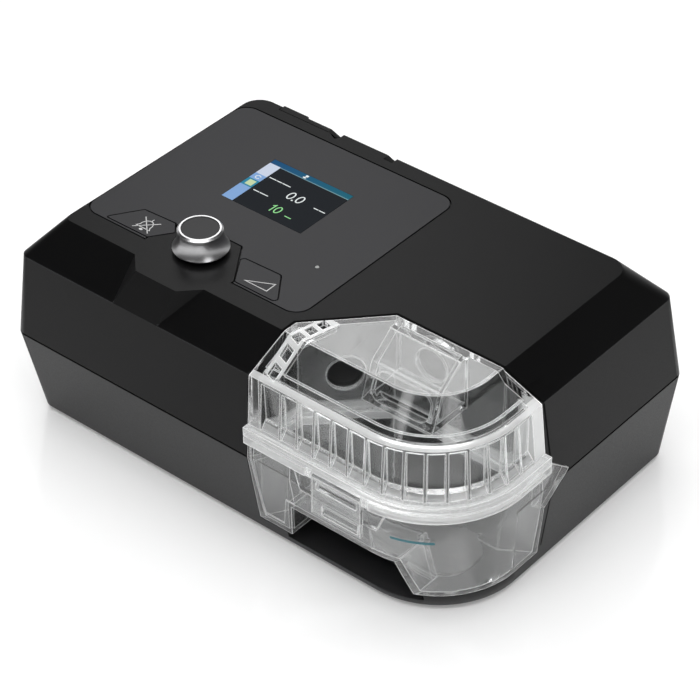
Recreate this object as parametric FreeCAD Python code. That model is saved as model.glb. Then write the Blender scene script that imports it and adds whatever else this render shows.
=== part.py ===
import FreeCAD, Part
import math
import os

# Bench-top breathing-air machine with a clear, removable water chamber docked in its
# front right corner. Millimetres; +Z is up, +X is to the right of someone facing the
# front, the front faces -Y. The pieces are laid out from the middle of the case, on the
# table, and then moved so that the origin is under the middle of the part's full extent.

V = FreeCAD.Vector
UP = V(0, 0, 1)

# Case: widest at the seam between its two halves.
CASE_W = 265.0
CASE_D = 176.0
LEFT = -CASE_W / 2
RIGHT = CASE_W / 2
FRONT = -CASE_D / 2
BACK = CASE_D / 2
FOOT_H = 3.0
BASE_H = 47.0
WALL_H = 45.5
CHAMFER_H = 18.0
BASE_Z = FOOT_H
SEAM_Z = BASE_Z + BASE_H
SHOULDER_Z = SEAM_Z + WALL_H
TOP_Z = SHOULDER_Z + CHAMFER_H
# How far each level of the case lies inside the seam: at its sides, front and back.
BASE_IN = (4.5, 8.5, 5.0)
SHOULDER_IN = (5.0, 3.0, 6.0)
TOP_IN = (20.0, 19.6, 21.0)
# Plan radii of the left front corner, the back corners and the chamber's corner.
BASE_R = (6.0, 6.0, 44.0)
SEAM_R = (6.0, 6.0, 47.0)
SHOULDER_R = (5.0, 6.0, 45.0)
TOP_R = (4.0, 10.0, 30.0)
CASE_WALL = 2.8
TOP_WALL = 3.0
FLOOR_T = 3.0
SEAM_REVEAL = 0.6

# Dock: the bay in the case that the chamber slides into along -Y.
DOCK_X = RIGHT - 117.5
DOCK_INNER_X = DOCK_X + 6.8
DOCK_KNEE_Y = FRONT + 27.5
DOCK_BACK_Y = FRONT + 60.0
DOCK_BACK_X0 = RIGHT - 79.3
DOCK_BACK_X1 = RIGHT - 19.2
DOCK_SIDE_Y = DOCK_BACK_Y + 9.0
DOCK_FLOOR_Z = 9.0
DOCK_GAP = 0.5
# Ear at the right end of the tub, a flat arrow that points back along the case's side.
EAR_TIP_Y = DOCK_SIDE_Y + 15.5
EAR_TIP_Z = 51.5
EAR_TOP_Z = 64.0
EAR_LOW_Z = 38.0
EAR_T = 3.0
EAR_ROOT = 12.0
# Finger scoop under the tub's front.
SCOOP_FLOOR_Z = 6.0
SCOOP_TOP_Z = 30.0
SCOOP_BACK_Y = FRONT + 24.0
SCOOP_X0 = DOCK_X + 19.0
SCOOP_X1 = RIGHT - 28.0
SCOOP_LEAN_X0 = 4.0
SCOOP_LEAN_X1 = 8.0

# Water chamber: tub below, lid above, a seal between them.
TUB_Z = 9.5
TUB_WALL = 2.2
RIM_Z = 64.2
RIM_H = 4.4
RIM_PROUD = 2.8
RIM_IN = 4.4
LID_GAP = 0.3
LID_Z = RIM_Z + LID_GAP
LID_WALL = 2.2
FLANGE_H = 4.4
FLANGE_PROUD = 3.2
SEAL_W = 1.8
SEAL_H = 2.0
SEAL_IN = 1.2
SEAL_SLACK = 0.1
# The lid's upright wall leans in towards its foot; ribs bring it back out to the case's face.
WALL_FOOT_IN = 4.2
WALL_HEAD_IN = 1.4
# Cove from the flange up to the wall's foot, and the thick rail along the shoulder inside.
COVE_H = 4.6
COVE_IN = 0.6
RAIL_IN = 5.6
RAIL_DOWN = 1.4
RAIL_UP = 2.8
RIB_PITCH = 9.6
RIB_T = 1.4
RIB_COUNT = 14
RIB_START_X = DOCK_X + 19.2
END_PANEL_W = 8.0
# Stiffening band with five pockets along the lid's left edge.
BAND_W = 8.0
BAND_T = 4.6
BAND_X0 = DOCK_X + 11.0
BAND_X1 = BAND_X0 + 8.0
BAND_Y0 = FRONT + 4.0
BAND_Y1 = BAND_Y0 + 34.0
POCKET_COUNT = 5
POCKET_W = 5.0
POCKET_L = 4.6
POCKET_DEEP = 2.6
# Share of a pocket's pitch before the first one, and spare after the last.
POCKET_START = 0.55
POCKET_END = 0.2
# Air duct inside the lid: from a port in its back wall down to a mouth that faces the front.
DUCT_X0 = DOCK_BACK_X0 + 2.8
DUCT_X1 = DUCT_X0 + 39.0
DUCT_WALL = 2.6
MOUTH_TOP_Y = DOCK_BACK_Y - 21.0
MOUTH_TOP_Z = TOP_Z - 12.5
MOUTH_LOW_Y = MOUTH_TOP_Y - 6.0
MOUTH_LOW_Z = MOUTH_TOP_Z - 17.0
MOUTH_W = 31.0
MOUTH_R = 5.0
# Round air ports, one in the dock's back wall and one in its slanted wall.
PORT_R = 8.5
PORT_SEAL_T = 1.8
PORT_IN_Z = TOP_Z - 17.5
PORT_OUT_Z = TOP_Z - 29.5
PORT_REACH = 12.0
# Metal heat-transfer plate in the tub's floor, over the heater.
PLATE_X0 = DOCK_BACK_X0 - 2.2
PLATE_X1 = RIGHT - 22.5
PLATE_Y0 = FRONT + 27.0
PLATE_Y1 = DOCK_BACK_Y - 5.0
PLATE_R = 12.0
PLATE_LIP = 2.0
PLATE_LIP_T = 1.0
PLATE_SLACK = 0.15
HEATER_T = 2.0
HEATER_GAP = 0.3
WELL_Z = 4.5
WELL_GAP = 0.4
# Front latch, hung between two lugs under the lid's flange: a clip with a grip window above
# and a slot below, in front of a raised apron on the tub.
LATCH_X0 = DOCK_X + 40.2
LATCH_X1 = LATCH_X0 + 28.0
LATCH_Z0 = 41.0
LATCH_T = 2.0
LATCH_GAP = 0.4
LATCH_BARREL_R = 1.5
LATCH_PIN_R = 0.8
LATCH_LUG_W = 3.0
LATCH_WINDOW_X0 = LATCH_X0 + 3.0
LATCH_WINDOW_X1 = LATCH_X1 - 2.4
LATCH_WINDOW_Z0 = 56.0
LATCH_WINDOW_Z1 = 59.6
LATCH_SLOT_X0 = LATCH_X0 + 6.2
LATCH_SLOT_X1 = LATCH_X1 - 1.6
LATCH_SLOT_Z0 = 42.4
LATCH_SLOT_Z1 = 47.6
APRON_PROUD = 1.2
APRON_FOOT_Z = 48.7
APRON_HEAD_OUT = 11.8
APRON_FOOT_OUT = 7.6
# Shallow panel in the tub's front, left of the latch.
PANEL_IN_T = 0.7
PANEL_IN_LEAN = 2.0
PANEL_IN_EDGE = 3.0
PANEL_IN_FOOT_Z = 14.5
FIT = 0.06

# Control panel, flush in the top.
PANEL_X0 = LEFT + 20.5
PANEL_X1 = DOCK_INNER_X - 1.5
PANEL_Y0 = FRONT + 31.7
PANEL_Y1 = BACK - 31.0
PANEL_R = 8.0
PANEL_T = 1.2
PANEL_GAP = 0.8
SCREEN_X = (PANEL_X0 + PANEL_X1) / 2 + 1.65
SCREEN_Y = PANEL_Y1 - 46.2
SCREEN_W = 48.6
SCREEN_D = 38.2
SCREEN_T = 1.5
SCREEN_GAP = 0.15
MODULE_RIM = 3.0
# Knob, and the two push buttons beside it: plan outlines, stems, and travel.
KNOB_X = (PANEL_X0 + PANEL_X1) / 2 - 0.55
KNOB_Y = PANEL_Y0 + 9.5
KNOB_AT = (KNOB_X, KNOB_Y)
MUTE_PTS = [(PANEL_X0 + 13.9, KNOB_Y - 8.0), (PANEL_X0 + 23.8, KNOB_Y + 6.8), (KNOB_X - 23.4, KNOB_Y + 7.8),
            (KNOB_X - 18.9, KNOB_Y + 2.4), (KNOB_X - 26.3, KNOB_Y - 7.8)]
RAMP_PTS = [(KNOB_X + 17.9, KNOB_Y + 7.4), (PANEL_X1 - 25.9, KNOB_Y + 8.2),
            (PANEL_X1 - 14.0, KNOB_Y - 8.0), (KNOB_X + 27.8, KNOB_Y - 8.0)]
MUTE_AT = (PANEL_X0 + 31.5, KNOB_Y - 0.2)
RAMP_AT = (PANEL_X1 - 31.3, KNOB_Y - 0.2)
BUTTON_GAP = 0.7
MUTE_R = 0.6
RAMP_R = 1.6
BUTTON_TRAVEL = 0.6
STEM_R = 3.0
SWITCH_W = 6.0
SWITCH_H = 3.5
SWITCH_TIP_R = 1.6
SWITCH_TIP_H = 0.5
LED_AT = (KNOB_X + 49.4, KNOB_Y + 23.5)
LED_R = 1.0
LED_GAP = 0.15

# Knob on a push encoder, on an island that carries the top forward over the front chamfer.
KNOB_Z = TOP_Z + 1.1
KNOB_H = 11.4
KNOB_FOOT_R = 13.4
KNOB_NECK_R = 10.7
KNOB_RING_W = 1.7
KNOB_WALL = 1.8
KNOB_CAP_T = 1.6
KNOB_CAP_DROP = 0.4
KNOB_TRAVEL = 0.8
SHAFT_R = 3.0
ENCODER_W = 13.0
ENCODER_H = 4.6
ISLAND_BACK_Y = KNOB_Y + 14.2
ISLAND_BACK_X0 = KNOB_X + 2.9
ISLAND_BACK_X1 = KNOB_X + 12.8
ISLAND_R = 1.2
ISLAND_HALF = 21.2
ISLAND_REACH = 9.0
ISLAND_FOOT_X0 = KNOB_X - 20.9
ISLAND_FOOT_X1 = KNOB_X + 6.4

# Main board under the top, on four posts.
BOARD_X0 = PANEL_X0 + 4.0
BOARD_X1 = PANEL_X1 - 11.3
BOARD_Y0 = PANEL_Y0 - 3.7
BOARD_Y1 = PANEL_Y1 - 11.0
BOARD_T = 1.6
BOARD_TOP_Z = TOP_Z - 7.9
POST_R = 3.5
POST_HOLE_L = 4.0
POSTS = [(BOARD_X0 + 4, BOARD_Y0 + 28), (BOARD_X0 + 4, BOARD_Y1 - 6),
         (BOARD_X1 - 5, BOARD_Y0 + 54), (BOARD_X1 - 5, BOARD_Y1 - 6)]

# Blower.
BLOWER_AT = (LEFT + 72.5, FRONT + 83.0)
BLOWER_R = 40.0
BLOWER_WALL = 2.2
BLOWER_Z0 = 14.0
BLOWER_Z1 = 54.0
BLOWER_SPLIT_Z = 42.0
VOLUTE_Z0 = 36.0
MOTOR_R = 20.0
EYE_R = 14.0
SPIGOT_Y = BLOWER_AT[1] + 33.0
SPIGOT_END_X = BLOWER_AT[0] + 52.0
TUBE_R = 9.2
TUBE_WALL = 1.6
IMPELLER_R = 31.0
IMPELLER_H = 11.0
BLADES = 9
ROTOR_R = 7.0
ROTOR_SHAFT_R = 1.5
STATOR_H = 15.0
STATOR_SLOT_W = 4.0
STATOR_BACK_T = 4.0
MOUNT_R = 5.0
DUCT_STRAIGHT = 30.0
MUFFLER_WALL = 1.6
MUFFLER_X1 = BLOWER_AT[0] + 20.0
MUFFLER_FRONT = 22.0
MUFFLER_NECK = 16.0
MUFFLER_TOP_Z = 72.0

# Back: hinged filter cover, filter, hose port, power inlet and card socket.
BAY_X0 = LEFT + 36.5
BAY_X1 = BAY_X0 + 32.0
BAY_Z0 = 62.0
BAY_DEEP = 24.0
BAY_DEPTH_Y = BACK - BAY_DEEP
BAY_SLOT_W = 2.0
BAY_SLOT_PITCH = 4.0
BAY_SLOT_COUNT = 6
COVER_GAP = 0.4
COVER_T = 2.4
COVER_BARREL_R = 2.0
COVER_PIN_R = 1.0
COVER_PIN_L = 2.6
COVER_LIFT = 1.2
COVER_SLOT_W = 2.2
COVER_SLOT_PITCH = 4.6
COVER_SLOT_Z0 = 68.0
COVER_SLOT_Z1 = 90.0
FILTER_T = 8.0
FILTER_Z0 = BAY_Z0 + 6.0
FILTER_Z1 = TOP_Z - 14.5
NOTCH_X0 = BAY_X1
NOTCH_X1 = NOTCH_X0 + 7.4
NOTCH_DEEP = 5.5
CLIP_X0 = NOTCH_X1 + 27.6
CLIP_X1 = CLIP_X0 + 5.5
CLIP_DEEP = 4.0
# The hose port stands in a round recess; its foot fills the hole in the recess's floor.
HOSE_AT = (BAY_X1 + 38.0, 67.5)
HOSE_R = 11.0
HOSE_WALL = 1.8
HOSE_RECESS_R = 14.5
HOSE_SEAT_Y = BACK - 10.0
HOSE_TIP_Y = BACK + 11.0
HOSE_STEP_R = 12.5
HOSE_STEP_PROUD = 0.2
HOSE_COLLAR_R = 14.5
HOSE_COLLAR_T = 2.5
JACK_AT = (RIGHT - 36.5, 27.0)
JACK_R = 2.85
JACK_W = 11.0
JACK_L = 13.0
JACK_BORE_L = 9.5
CARD_W = 25.0
CARD_H = 3.2
CARD_L = 26.0
CARD_SHELL = 1.2
CARD_AT = (JACK_AT[0] - 34.0, JACK_AT[1] - JACK_W / 2 + CARD_H / 2 + CARD_SHELL)
REAR_BOARD_D = 34.0
REAR_BOARD_SIDE = 7.0

# Feet and screws.
FOOT_R = 7.0
FOOT_RECESS = 1.0
FEET = [(LEFT + 24.5, FRONT + 28), (LEFT + 24.5, BACK - 22), (RIGHT - 24.5, BACK - 22),
        (RIGHT - 32.5, FRONT + 32)]
SCREW_R = 1.5
SCREW_HEAD_R = 3.0
SCREW_HEAD_H = 2.2
BOSS_R = 4.2
BOSS_TOP_H = 12.0
SCREW_SLACK = 0.2
SCREWS = [(LEFT + 12.5, FRONT + 16), (LEFT + 12.5, BACK - 12), (RIGHT - 14.5, BACK - 12),
          (RIGHT - 14.5, FRONT + 82)]


# Shapes used by many pieces.

def box(x0, x1, y0, y1, z0, z1):
    return Part.makeBox(x1 - x0, y1 - y0, z1 - z0, V(x0, y0, z0))


def rod(x, y, z0, z1, r):
    return Part.makeCylinder(r, z1 - z0, V(x, y, z0), UP)


def rod_between(a, b, r):
    return Part.makeCylinder(r, (b - a).Length, a, b - a)


def fuse(shapes):
    first = shapes[0]
    return first.fuse(shapes[1:]) if len(shapes) > 1 else first


def prism(points, z0, z1):
    corners = [V(x, y, z0) for x, y in points]
    face = Part.Face(Part.makePolygon(corners + corners[:1]))
    return face.extrude(V(0, 0, z1 - z0))


def soft_prism(points, r, z0, z1):
    """Upright prism with its corners rounded in plan."""
    body = prism(points, z0, z1)
    upright = [e for e in body.Edges if abs(e.Vertexes[0].Z - e.Vertexes[1].Z) > (z1 - z0) / 2]
    return body.makeFillet(r, upright)


def prism_x(points, x0, x1):
    corners = [V(x0, y, z) for y, z in points]
    face = Part.Face(Part.makePolygon(corners + corners[:1]))
    return face.extrude(V(x1 - x0, 0, 0))


def prism_y(points, y0, y1):
    corners = [V(x, y0, z) for x, z in points]
    face = Part.Face(Part.makePolygon(corners + corners[:1]))
    return face.extrude(V(0, y1 - y0, 0))


def offset(points, grow):
    """A closed outline, listed clockwise seen from above, with each side moved out."""
    sides = []
    for i, (x0, y0) in enumerate(points):
        x1, y1 = points[(i + 1) % len(points)]
        length = math.hypot(x1 - x0, y1 - y0)
        nx, ny = -(y1 - y0) / length, (x1 - x0) / length
        sides.append((nx, ny, nx * x0 + ny * y0 + grow))
    moved = []
    for i, (a1, b1, c1) in enumerate(sides):
        a0, b0, c0 = sides[i - 1]
        det = a0 * b1 - a1 * b0
        moved.append(((c0 * b1 - c1 * b0) / det, (a0 * c1 - a1 * c0) / det))
    return moved


def round_rect(x0, x1, y0, y1, z, r_fl, r_back, r_fr):
    """Plan outline with its own radius at the left front, both back and the right front."""
    k = 1 - math.sqrt(0.5)
    corners = [(x0, y0, 1, 1, r_fl), (x0, y1, 1, -1, r_back),
               (x1, y1, -1, -1, r_back), (x1, y0, -1, 1, r_fr)]
    ends, arcs = [], []
    for i, (x, y, sx, sy, r) in enumerate(corners):
        a = V(x + sx * r, y, z)
        b = V(x, y + sy * r, z)
        if i % 2 == 1:
            a, b = b, a
        arcs.append(Part.Arc(a, V(x + sx * k * r, y + sy * k * r, z), b).toShape())
        ends.append((a, b))
    edges = []
    for i in range(4):
        edges.append(arcs[i])
        edges.append(Part.LineSegment(ends[i][1], ends[(i + 1) % 4][0]).toShape())
    return Part.Wire(edges)


def pad(x0, x1, y0, y1, z0, z1, r):
    return Part.Face(round_rect(x0, x1, y0, y1, z0, r, r, r)).extrude(V(0, 0, z1 - z0))


def tube(points, r_in, wall):
    """Hollow duct through the points, with ball-shaped elbows."""
    shells = []
    for r in (r_in + wall, r_in):
        runs = [rod_between(a, b, r) for a, b in zip(points, points[1:])]
        elbows = [Part.makeSphere(r, p) for p in points[1:-1]]
        shells.append(fuse(runs + elbows))
    return shells[0].cut(shells[1])


# The outer form of the case, which the chamber continues.

LEVELS = [(BASE_Z, BASE_IN, BASE_R), (SEAM_Z, (0.0, 0.0, 0.0), SEAM_R),
          (SHOULDER_Z, SHOULDER_IN, SHOULDER_R), (TOP_Z, TOP_IN, TOP_R)]


def level(z):
    """Insets and corner radii of the case at a height."""
    for (z0, in0, r0), (z1, in1, r1) in zip(LEVELS, LEVELS[1:]):
        if z <= z1:
            break
    t = (z - z0) / (z1 - z0)
    inset = [a + (b - a) * t for a, b in zip(in0, in1)]
    radii = [a + (b - a) * t for a, b in zip(r0, r1)]
    return inset, radii


def front_y(z):
    return -CASE_D / 2 + level(z)[0][1]


def back_y(z):
    return CASE_D / 2 - level(z)[0][2]


def side_x(z):
    return CASE_W / 2 - level(z)[0][0]


def case_section(z, grow=0.0, at=None):
    (side, front, back), (r_fl, r_back, r_fr) = level(z)
    x = CASE_W / 2 - side + grow
    return round_rect(-x, x, -CASE_D / 2 + front - grow, CASE_D / 2 - back + grow,
                      z if at is None else at,
                      max(r_fl + grow, 1.0), max(r_back + grow, 1.0), r_fr + grow)


def case_form(z0, z1, grow=0.0):
    """The case's outer form between two heights, grown or shrunk all round."""
    heights = [z0] + [row[0] for row in LEVELS if z0 < row[0] < z1] + [z1]
    parts = []
    for a, b in zip(heights, heights[1:]):
        parts.append(Part.makeLoft([case_section(a, grow), case_section(b, grow)], True, True))
    return fuse(parts)


def case_skin(z0, z1, outside, inside):
    """Layer that follows the case's surface, from outside it to inside it."""
    return case_form(z0, z1, outside).cut(case_form(z0, z1, -inside))


def flat_form(z0, z1, grow):
    """Upright slab whose outline is the case's at its lower face, grown all round."""
    return Part.Face(case_section(z0, grow)).extrude(V(0, 0, z1 - z0))


# The dock's plan, clockwise from above; it runs out past the front and the right.

FAR = 160.0
DOCK_PTS = [(DOCK_X, -FAR), (DOCK_X, front_y(SHOULDER_Z)), (DOCK_INNER_X, front_y(TOP_Z)),
            (DOCK_INNER_X + 0.3, DOCK_KNEE_Y), (DOCK_BACK_X0, DOCK_BACK_Y),
            (DOCK_BACK_X1, DOCK_BACK_Y), (side_x(SHOULDER_Z), DOCK_SIDE_Y),
            (FAR, DOCK_SIDE_Y), (FAR, -FAR)]


DOCK_LOW_PTS = [(DOCK_X, -FAR), (DOCK_X, front_y(BASE_Z))] + DOCK_PTS[2:]


def dock_prism(z0, z1, grow=0.0):
    """The dock's space; below the seam its left wall runs straight back further."""
    seam = SEAM_Z + grow
    spans = [(DOCK_LOW_PTS, z0, min(z1, seam)), (DOCK_PTS, max(z0, seam), z1)]
    return fuse([prism(offset(pts, grow), a, b) for pts, a, b in spans if a < b])


def ear_prism(thick, grow=0.0):
    """The ear's arrow shape seen from the side, open towards the front."""
    pts = [(DOCK_SIDE_Y - EAR_ROOT, EAR_LOW_Z), (DOCK_SIDE_Y - EAR_ROOT, EAR_TOP_Z),
           (DOCK_SIDE_Y, EAR_TOP_Z), (EAR_TIP_Y, EAR_TIP_Z), (DOCK_SIDE_Y, EAR_LOW_Z)]
    return prism_x(offset(pts, grow), side_x(SHOULDER_Z) - thick, FAR)


def scoop_prism(grow=0.0):
    """Finger scoop: sides lean, and it is open to the front and downwards."""
    pts = [(SCOOP_X0, BASE_Z), (SCOOP_X0 + SCOOP_LEAN_X0, SCOOP_TOP_Z),
           (SCOOP_X1 - SCOOP_LEAN_X1, SCOOP_TOP_Z), (SCOOP_X1, BASE_Z)]
    return prism_y(offset(pts, grow), -FAR, SCOOP_BACK_Y + grow)


# Directions and centres of the two air ports.

SLANT = V(DOCK_BACK_X0 - DOCK_INNER_X, DOCK_BACK_Y - DOCK_KNEE_Y, 0).normalize()
SLANT_OUT = V(-SLANT.y, SLANT.x, 0)
PORT_OUT = V((DOCK_INNER_X + DOCK_BACK_X0) / 2, (DOCK_KNEE_Y + DOCK_BACK_Y) / 2, PORT_OUT_Z)
PORT_IN = V((DUCT_X0 + DUCT_X1) / 2, DOCK_BACK_Y, PORT_IN_Z)


def port_hole(centre, normal, r):
    return Part.makeCylinder(r, 2 * PORT_REACH, centre - normal * PORT_REACH, normal)


def port_seal(centre, normal):
    """Silicone ring that lines a port's hole through the dock wall."""
    ring = Part.makeCylinder(PORT_R + PORT_SEAL_T - FIT, CASE_WALL, centre, normal)
    return ring.cut(Part.makeCylinder(PORT_R, CASE_WALL, centre, normal))


# Case halves.

def knob_island(z1, shrink, run_in):
    """Wedge before the knob: a flat top with 45 degree corners, a front that falls to the shoulder."""
    def outline(x0, x1, y, corner):
        pts = [(x1, y + corner + run_in), (x1, y + corner), (x1 - corner, y),
               (x0 + corner, y), (x0, y + corner), (x0, y + corner + run_in)]
        return offset(pts, -shrink)
    r = ISLAND_REACH
    rows = [(z1, outline(KNOB_X - ISLAND_HALF, KNOB_X + ISLAND_HALF, front_y(TOP_Z) - r, r)),
            (SHOULDER_Z, outline(ISLAND_FOOT_X0 - r, ISLAND_FOOT_X1 + r, front_y(SHOULDER_Z), r))]
    wires = []
    for z, pts in rows:
        corners = [V(x, y, z) for x, y in pts]
        wires.append(Part.makePolygon(corners + corners[:1]))
    return Part.makeLoft(wires, True, True)


def case_shell(z0, z1, inner_z0, inner_z1, keep):
    """Outer form less a cavity; keep lists the solid parts that stand in the cavity."""
    cavity = case_form(inner_z0, inner_z1, -CASE_WALL)
    for solid in keep:
        cavity = cavity.cut(solid)
    return case_form(z0, z1).cut(cavity)


def make_base_case():
    bosses = [rod(x, y, BASE_Z, SEAM_Z, BOSS_R) for x, y in SCREWS]
    dock = dock_prism(BASE_Z, SEAM_Z + 1, CASE_WALL)
    ear = ear_prism(EAR_T + DOCK_GAP, CASE_WALL)
    shell = case_shell(BASE_Z, SEAM_Z, BASE_Z + FLOOR_T, SEAM_Z, bosses + [dock, ear])
    scoop = box(SCOOP_X0 - 2, SCOOP_X1 + 2, -FAR, SCOOP_BACK_Y, SCOOP_FLOOR_Z, DOCK_FLOOR_Z)
    g = WELL_GAP
    well = pad(PLATE_X0 - g, PLATE_X1 + g, PLATE_Y0 - g, PLATE_Y1 + g, WELL_Z, DOCK_FLOOR_Z, PLATE_R)
    cuts = [dock_prism(DOCK_FLOOR_Z, SEAM_Z + 1), ear_prism(EAR_T + DOCK_GAP, DOCK_GAP), scoop, well]
    cuts += [rod(x, y, BASE_Z, SEAM_Z, SCREW_R + SCREW_SLACK) for x, y in SCREWS]
    cuts += [rod(x, y, BASE_Z, BASE_Z + SCREW_HEAD_H, SCREW_HEAD_R + 0.3) for x, y in SCREWS]
    cuts += [rod(x, y, BASE_Z, BASE_Z + FOOT_RECESS, FOOT_R + 0.1) for x, y in FEET]
    half = JACK_W / 2 + 0.1
    jx, jz = JACK_AT
    cuts.append(box(jx - half, jx + half, 70, FAR, jz - half, jz + half))
    cx, cz = CARD_AT
    cuts.append(box(cx - CARD_W / 2, cx + CARD_W / 2, 70, FAR, cz - CARD_H / 2, cz + CARD_H / 2))
    return shell.cut(cuts)


def make_top_case():
    dock = dock_prism(SEAM_Z - 1, TOP_Z, CASE_WALL)
    ear = ear_prism(EAR_T + DOCK_GAP, CASE_WALL)
    bay = box(BAY_X0 - CASE_WALL, BAY_X1 + CASE_WALL, BAY_DEPTH_Y - CASE_WALL, FAR,
              BAY_Z0 - CASE_WALL, TOP_Z)
    bosses = [rod(x, y, SEAM_Z, TOP_Z, BOSS_R) for x, y in SCREWS]
    posts = [rod(x, y, BOARD_TOP_Z, TOP_Z, POST_R) for x, y in POSTS]
    hx, hz = HOSE_AT
    cup = rod_between(V(hx, HOSE_SEAT_Y - CASE_WALL, hz), V(hx, FAR, hz), HOSE_RECESS_R + CASE_WALL)
    shell = case_shell(SEAM_Z, TOP_Z, SEAM_Z, TOP_Z - TOP_WALL,
                       [dock, ear, bay, cup] + bosses + posts)
    shell = shell.fuse(knob_island(TOP_Z, 0.0, 1.0))
    shell = shell.cut(knob_island(TOP_Z - TOP_WALL, CASE_WALL, 8.0))
    cuts = [dock_prism(SEAM_Z - 1, TOP_Z), ear_prism(EAR_T + DOCK_GAP, DOCK_GAP)]
    cuts += [filter_bay(), panel_recess()]
    cuts += [port_hole(PORT_IN, V(0, 1, 0), PORT_R + PORT_SEAL_T),
             port_hole(PORT_OUT, SLANT_OUT, PORT_R + PORT_SEAL_T)]
    cuts += [rod(x, y, SEAM_Z, SEAM_Z + BOSS_TOP_H - 2, SCREW_R + FIT) for x, y in SCREWS]
    cuts += [rod(x, y, BOARD_TOP_Z, BOARD_TOP_Z + POST_HOLE_L, SCREW_R + FIT) for x, y in POSTS]
    cuts += [rod_between(V(hx, HOSE_SEAT_Y, hz), V(hx, FAR, hz), HOSE_RECESS_R),
             rod_between(V(hx, HOSE_SEAT_Y - CASE_WALL, hz), V(hx, FAR, hz), HOSE_STEP_R + FIT)]
    cuts.append(seam_groove())
    return shell.cut(cuts)


def seam_groove():
    """Shadow line round the outside of the seam."""
    outer = flat_form(SEAM_Z, SEAM_Z + SEAM_REVEAL, 1.0)
    return outer.cut(flat_form(SEAM_Z, SEAM_Z + SEAM_REVEAL, -SEAM_REVEAL))


def filter_bay():
    """Recess for filter and cover, slots through to the inlet, finger notch, hose clip slot."""
    bay = box(BAY_X0, BAY_X1, BAY_DEPTH_Y, FAR, BAY_Z0, TOP_Z)
    first = (BAY_X0 + BAY_X1 - (BAY_SLOT_COUNT - 1) * BAY_SLOT_PITCH - BAY_SLOT_W) / 2
    starts = [first + i * BAY_SLOT_PITCH for i in range(BAY_SLOT_COUNT)]
    slots = [box(x, x + BAY_SLOT_W, BAY_DEPTH_Y - CASE_WALL - 1, BAY_DEPTH_Y + 1,
                 FILTER_Z0 + 2, FILTER_Z1 - 1) for x in starts]
    edge = back_y(TOP_Z)
    notch = prism([(NOTCH_X0, edge - NOTCH_DEEP / 2), (NOTCH_X1 - 1.5, edge - NOTCH_DEEP),
                   (NOTCH_X1, edge - NOTCH_DEEP + 2), (NOTCH_X1, FAR), (NOTCH_X0, FAR)],
                  TOP_Z - 14, TOP_Z)
    clip = box(CLIP_X0, CLIP_X1, edge - CLIP_DEEP, FAR, TOP_Z - 12, TOP_Z)
    axis_y, axis_z = cover_axis()
    bores = rod_between(V(BAY_X0 - COVER_PIN_L, axis_y, axis_z),
                        V(BAY_X1 + COVER_PIN_L, axis_y, axis_z), COVER_PIN_R + FIT)
    return fuse([bay, notch, clip, bores] + slots)


# Control panel and what sits in it.

def panel_outline(grow):
    """Rounded plate with a bay at its front for the knob island."""
    g = grow
    plate = pad(PANEL_X0 - g, PANEL_X1 + g, PANEL_Y0 - g, PANEL_Y1 + g,
                TOP_Z - PANEL_T, TOP_Z, PANEL_R + g)
    island = [(MUTE_PTS[4][0], -FAR), MUTE_PTS[4], MUTE_PTS[3], MUTE_PTS[2],
              (ISLAND_BACK_X0, ISLAND_BACK_Y), (ISLAND_BACK_X1, ISLAND_BACK_Y), RAMP_PTS[3],
              (RAMP_PTS[3][0], -FAR)]
    return plate.cut(soft_prism(offset(island, 0.01 - g), ISLAND_R, TOP_Z - PANEL_T, TOP_Z))


def button_spaces(z0):
    """The spaces round the two buttons, from a height up to the top."""
    g = BUTTON_GAP
    return [soft_prism(offset(pts, g), r + g, z0, TOP_Z)
            for pts, r in ((MUTE_PTS, MUTE_R), (RAMP_PTS, RAMP_R))]


def panel_recess():
    """Seat of the panel, wells and stem holes of the buttons, window opening, shaft and lens holes."""
    seat = panel_outline(PANEL_GAP)
    well_z = TOP_Z - PANEL_T - BUTTON_TRAVEL - 0.3
    wells = button_spaces(well_z)
    low = TOP_Z - TOP_WALL - 1
    stems = [rod(x, y, low, TOP_Z, STEM_R + FIT) for x, y in (MUTE_AT, RAMP_AT)]
    half_w = SCREEN_W / 2 + MODULE_RIM + 0.3
    half_d = SCREEN_D / 2 + MODULE_RIM + 0.3
    opening = box(SCREEN_X - half_w, SCREEN_X + half_w, SCREEN_Y - half_d, SCREEN_Y + half_d, low, TOP_Z)
    shaft = rod(KNOB_AT[0], KNOB_AT[1], low, TOP_Z + 1, SHAFT_R + FIT)
    lens = rod(LED_AT[0], LED_AT[1], low, TOP_Z, LED_R + LED_GAP)
    return fuse([seat, opening, shaft, lens] + wells + stems)


def make_control_panel():
    panel = panel_outline(0.0)
    half_w, half_d = SCREEN_W / 2 + SCREEN_GAP, SCREEN_D / 2 + SCREEN_GAP
    cuts = [box(SCREEN_X - half_w, SCREEN_X + half_w, SCREEN_Y - half_d, SCREEN_Y + half_d,
                TOP_Z - PANEL_T, TOP_Z)]
    cuts += button_spaces(TOP_Z - PANEL_T)
    cuts.append(rod(LED_AT[0], LED_AT[1], TOP_Z - PANEL_T, TOP_Z, LED_R + LED_GAP))
    return panel.cut(cuts)


def make_display_window():
    return box(SCREEN_X - SCREEN_W / 2, SCREEN_X + SCREEN_W / 2,
               SCREEN_Y - SCREEN_D / 2, SCREEN_Y + SCREEN_D / 2, TOP_Z - SCREEN_T, TOP_Z)


def make_display_module():
    half_w, half_d = SCREEN_W / 2 + MODULE_RIM, SCREEN_D / 2 + MODULE_RIM
    return box(SCREEN_X - half_w, SCREEN_X + half_w, SCREEN_Y - half_d, SCREEN_Y + half_d,
               BOARD_TOP_Z, TOP_Z - SCREEN_T)


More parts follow.
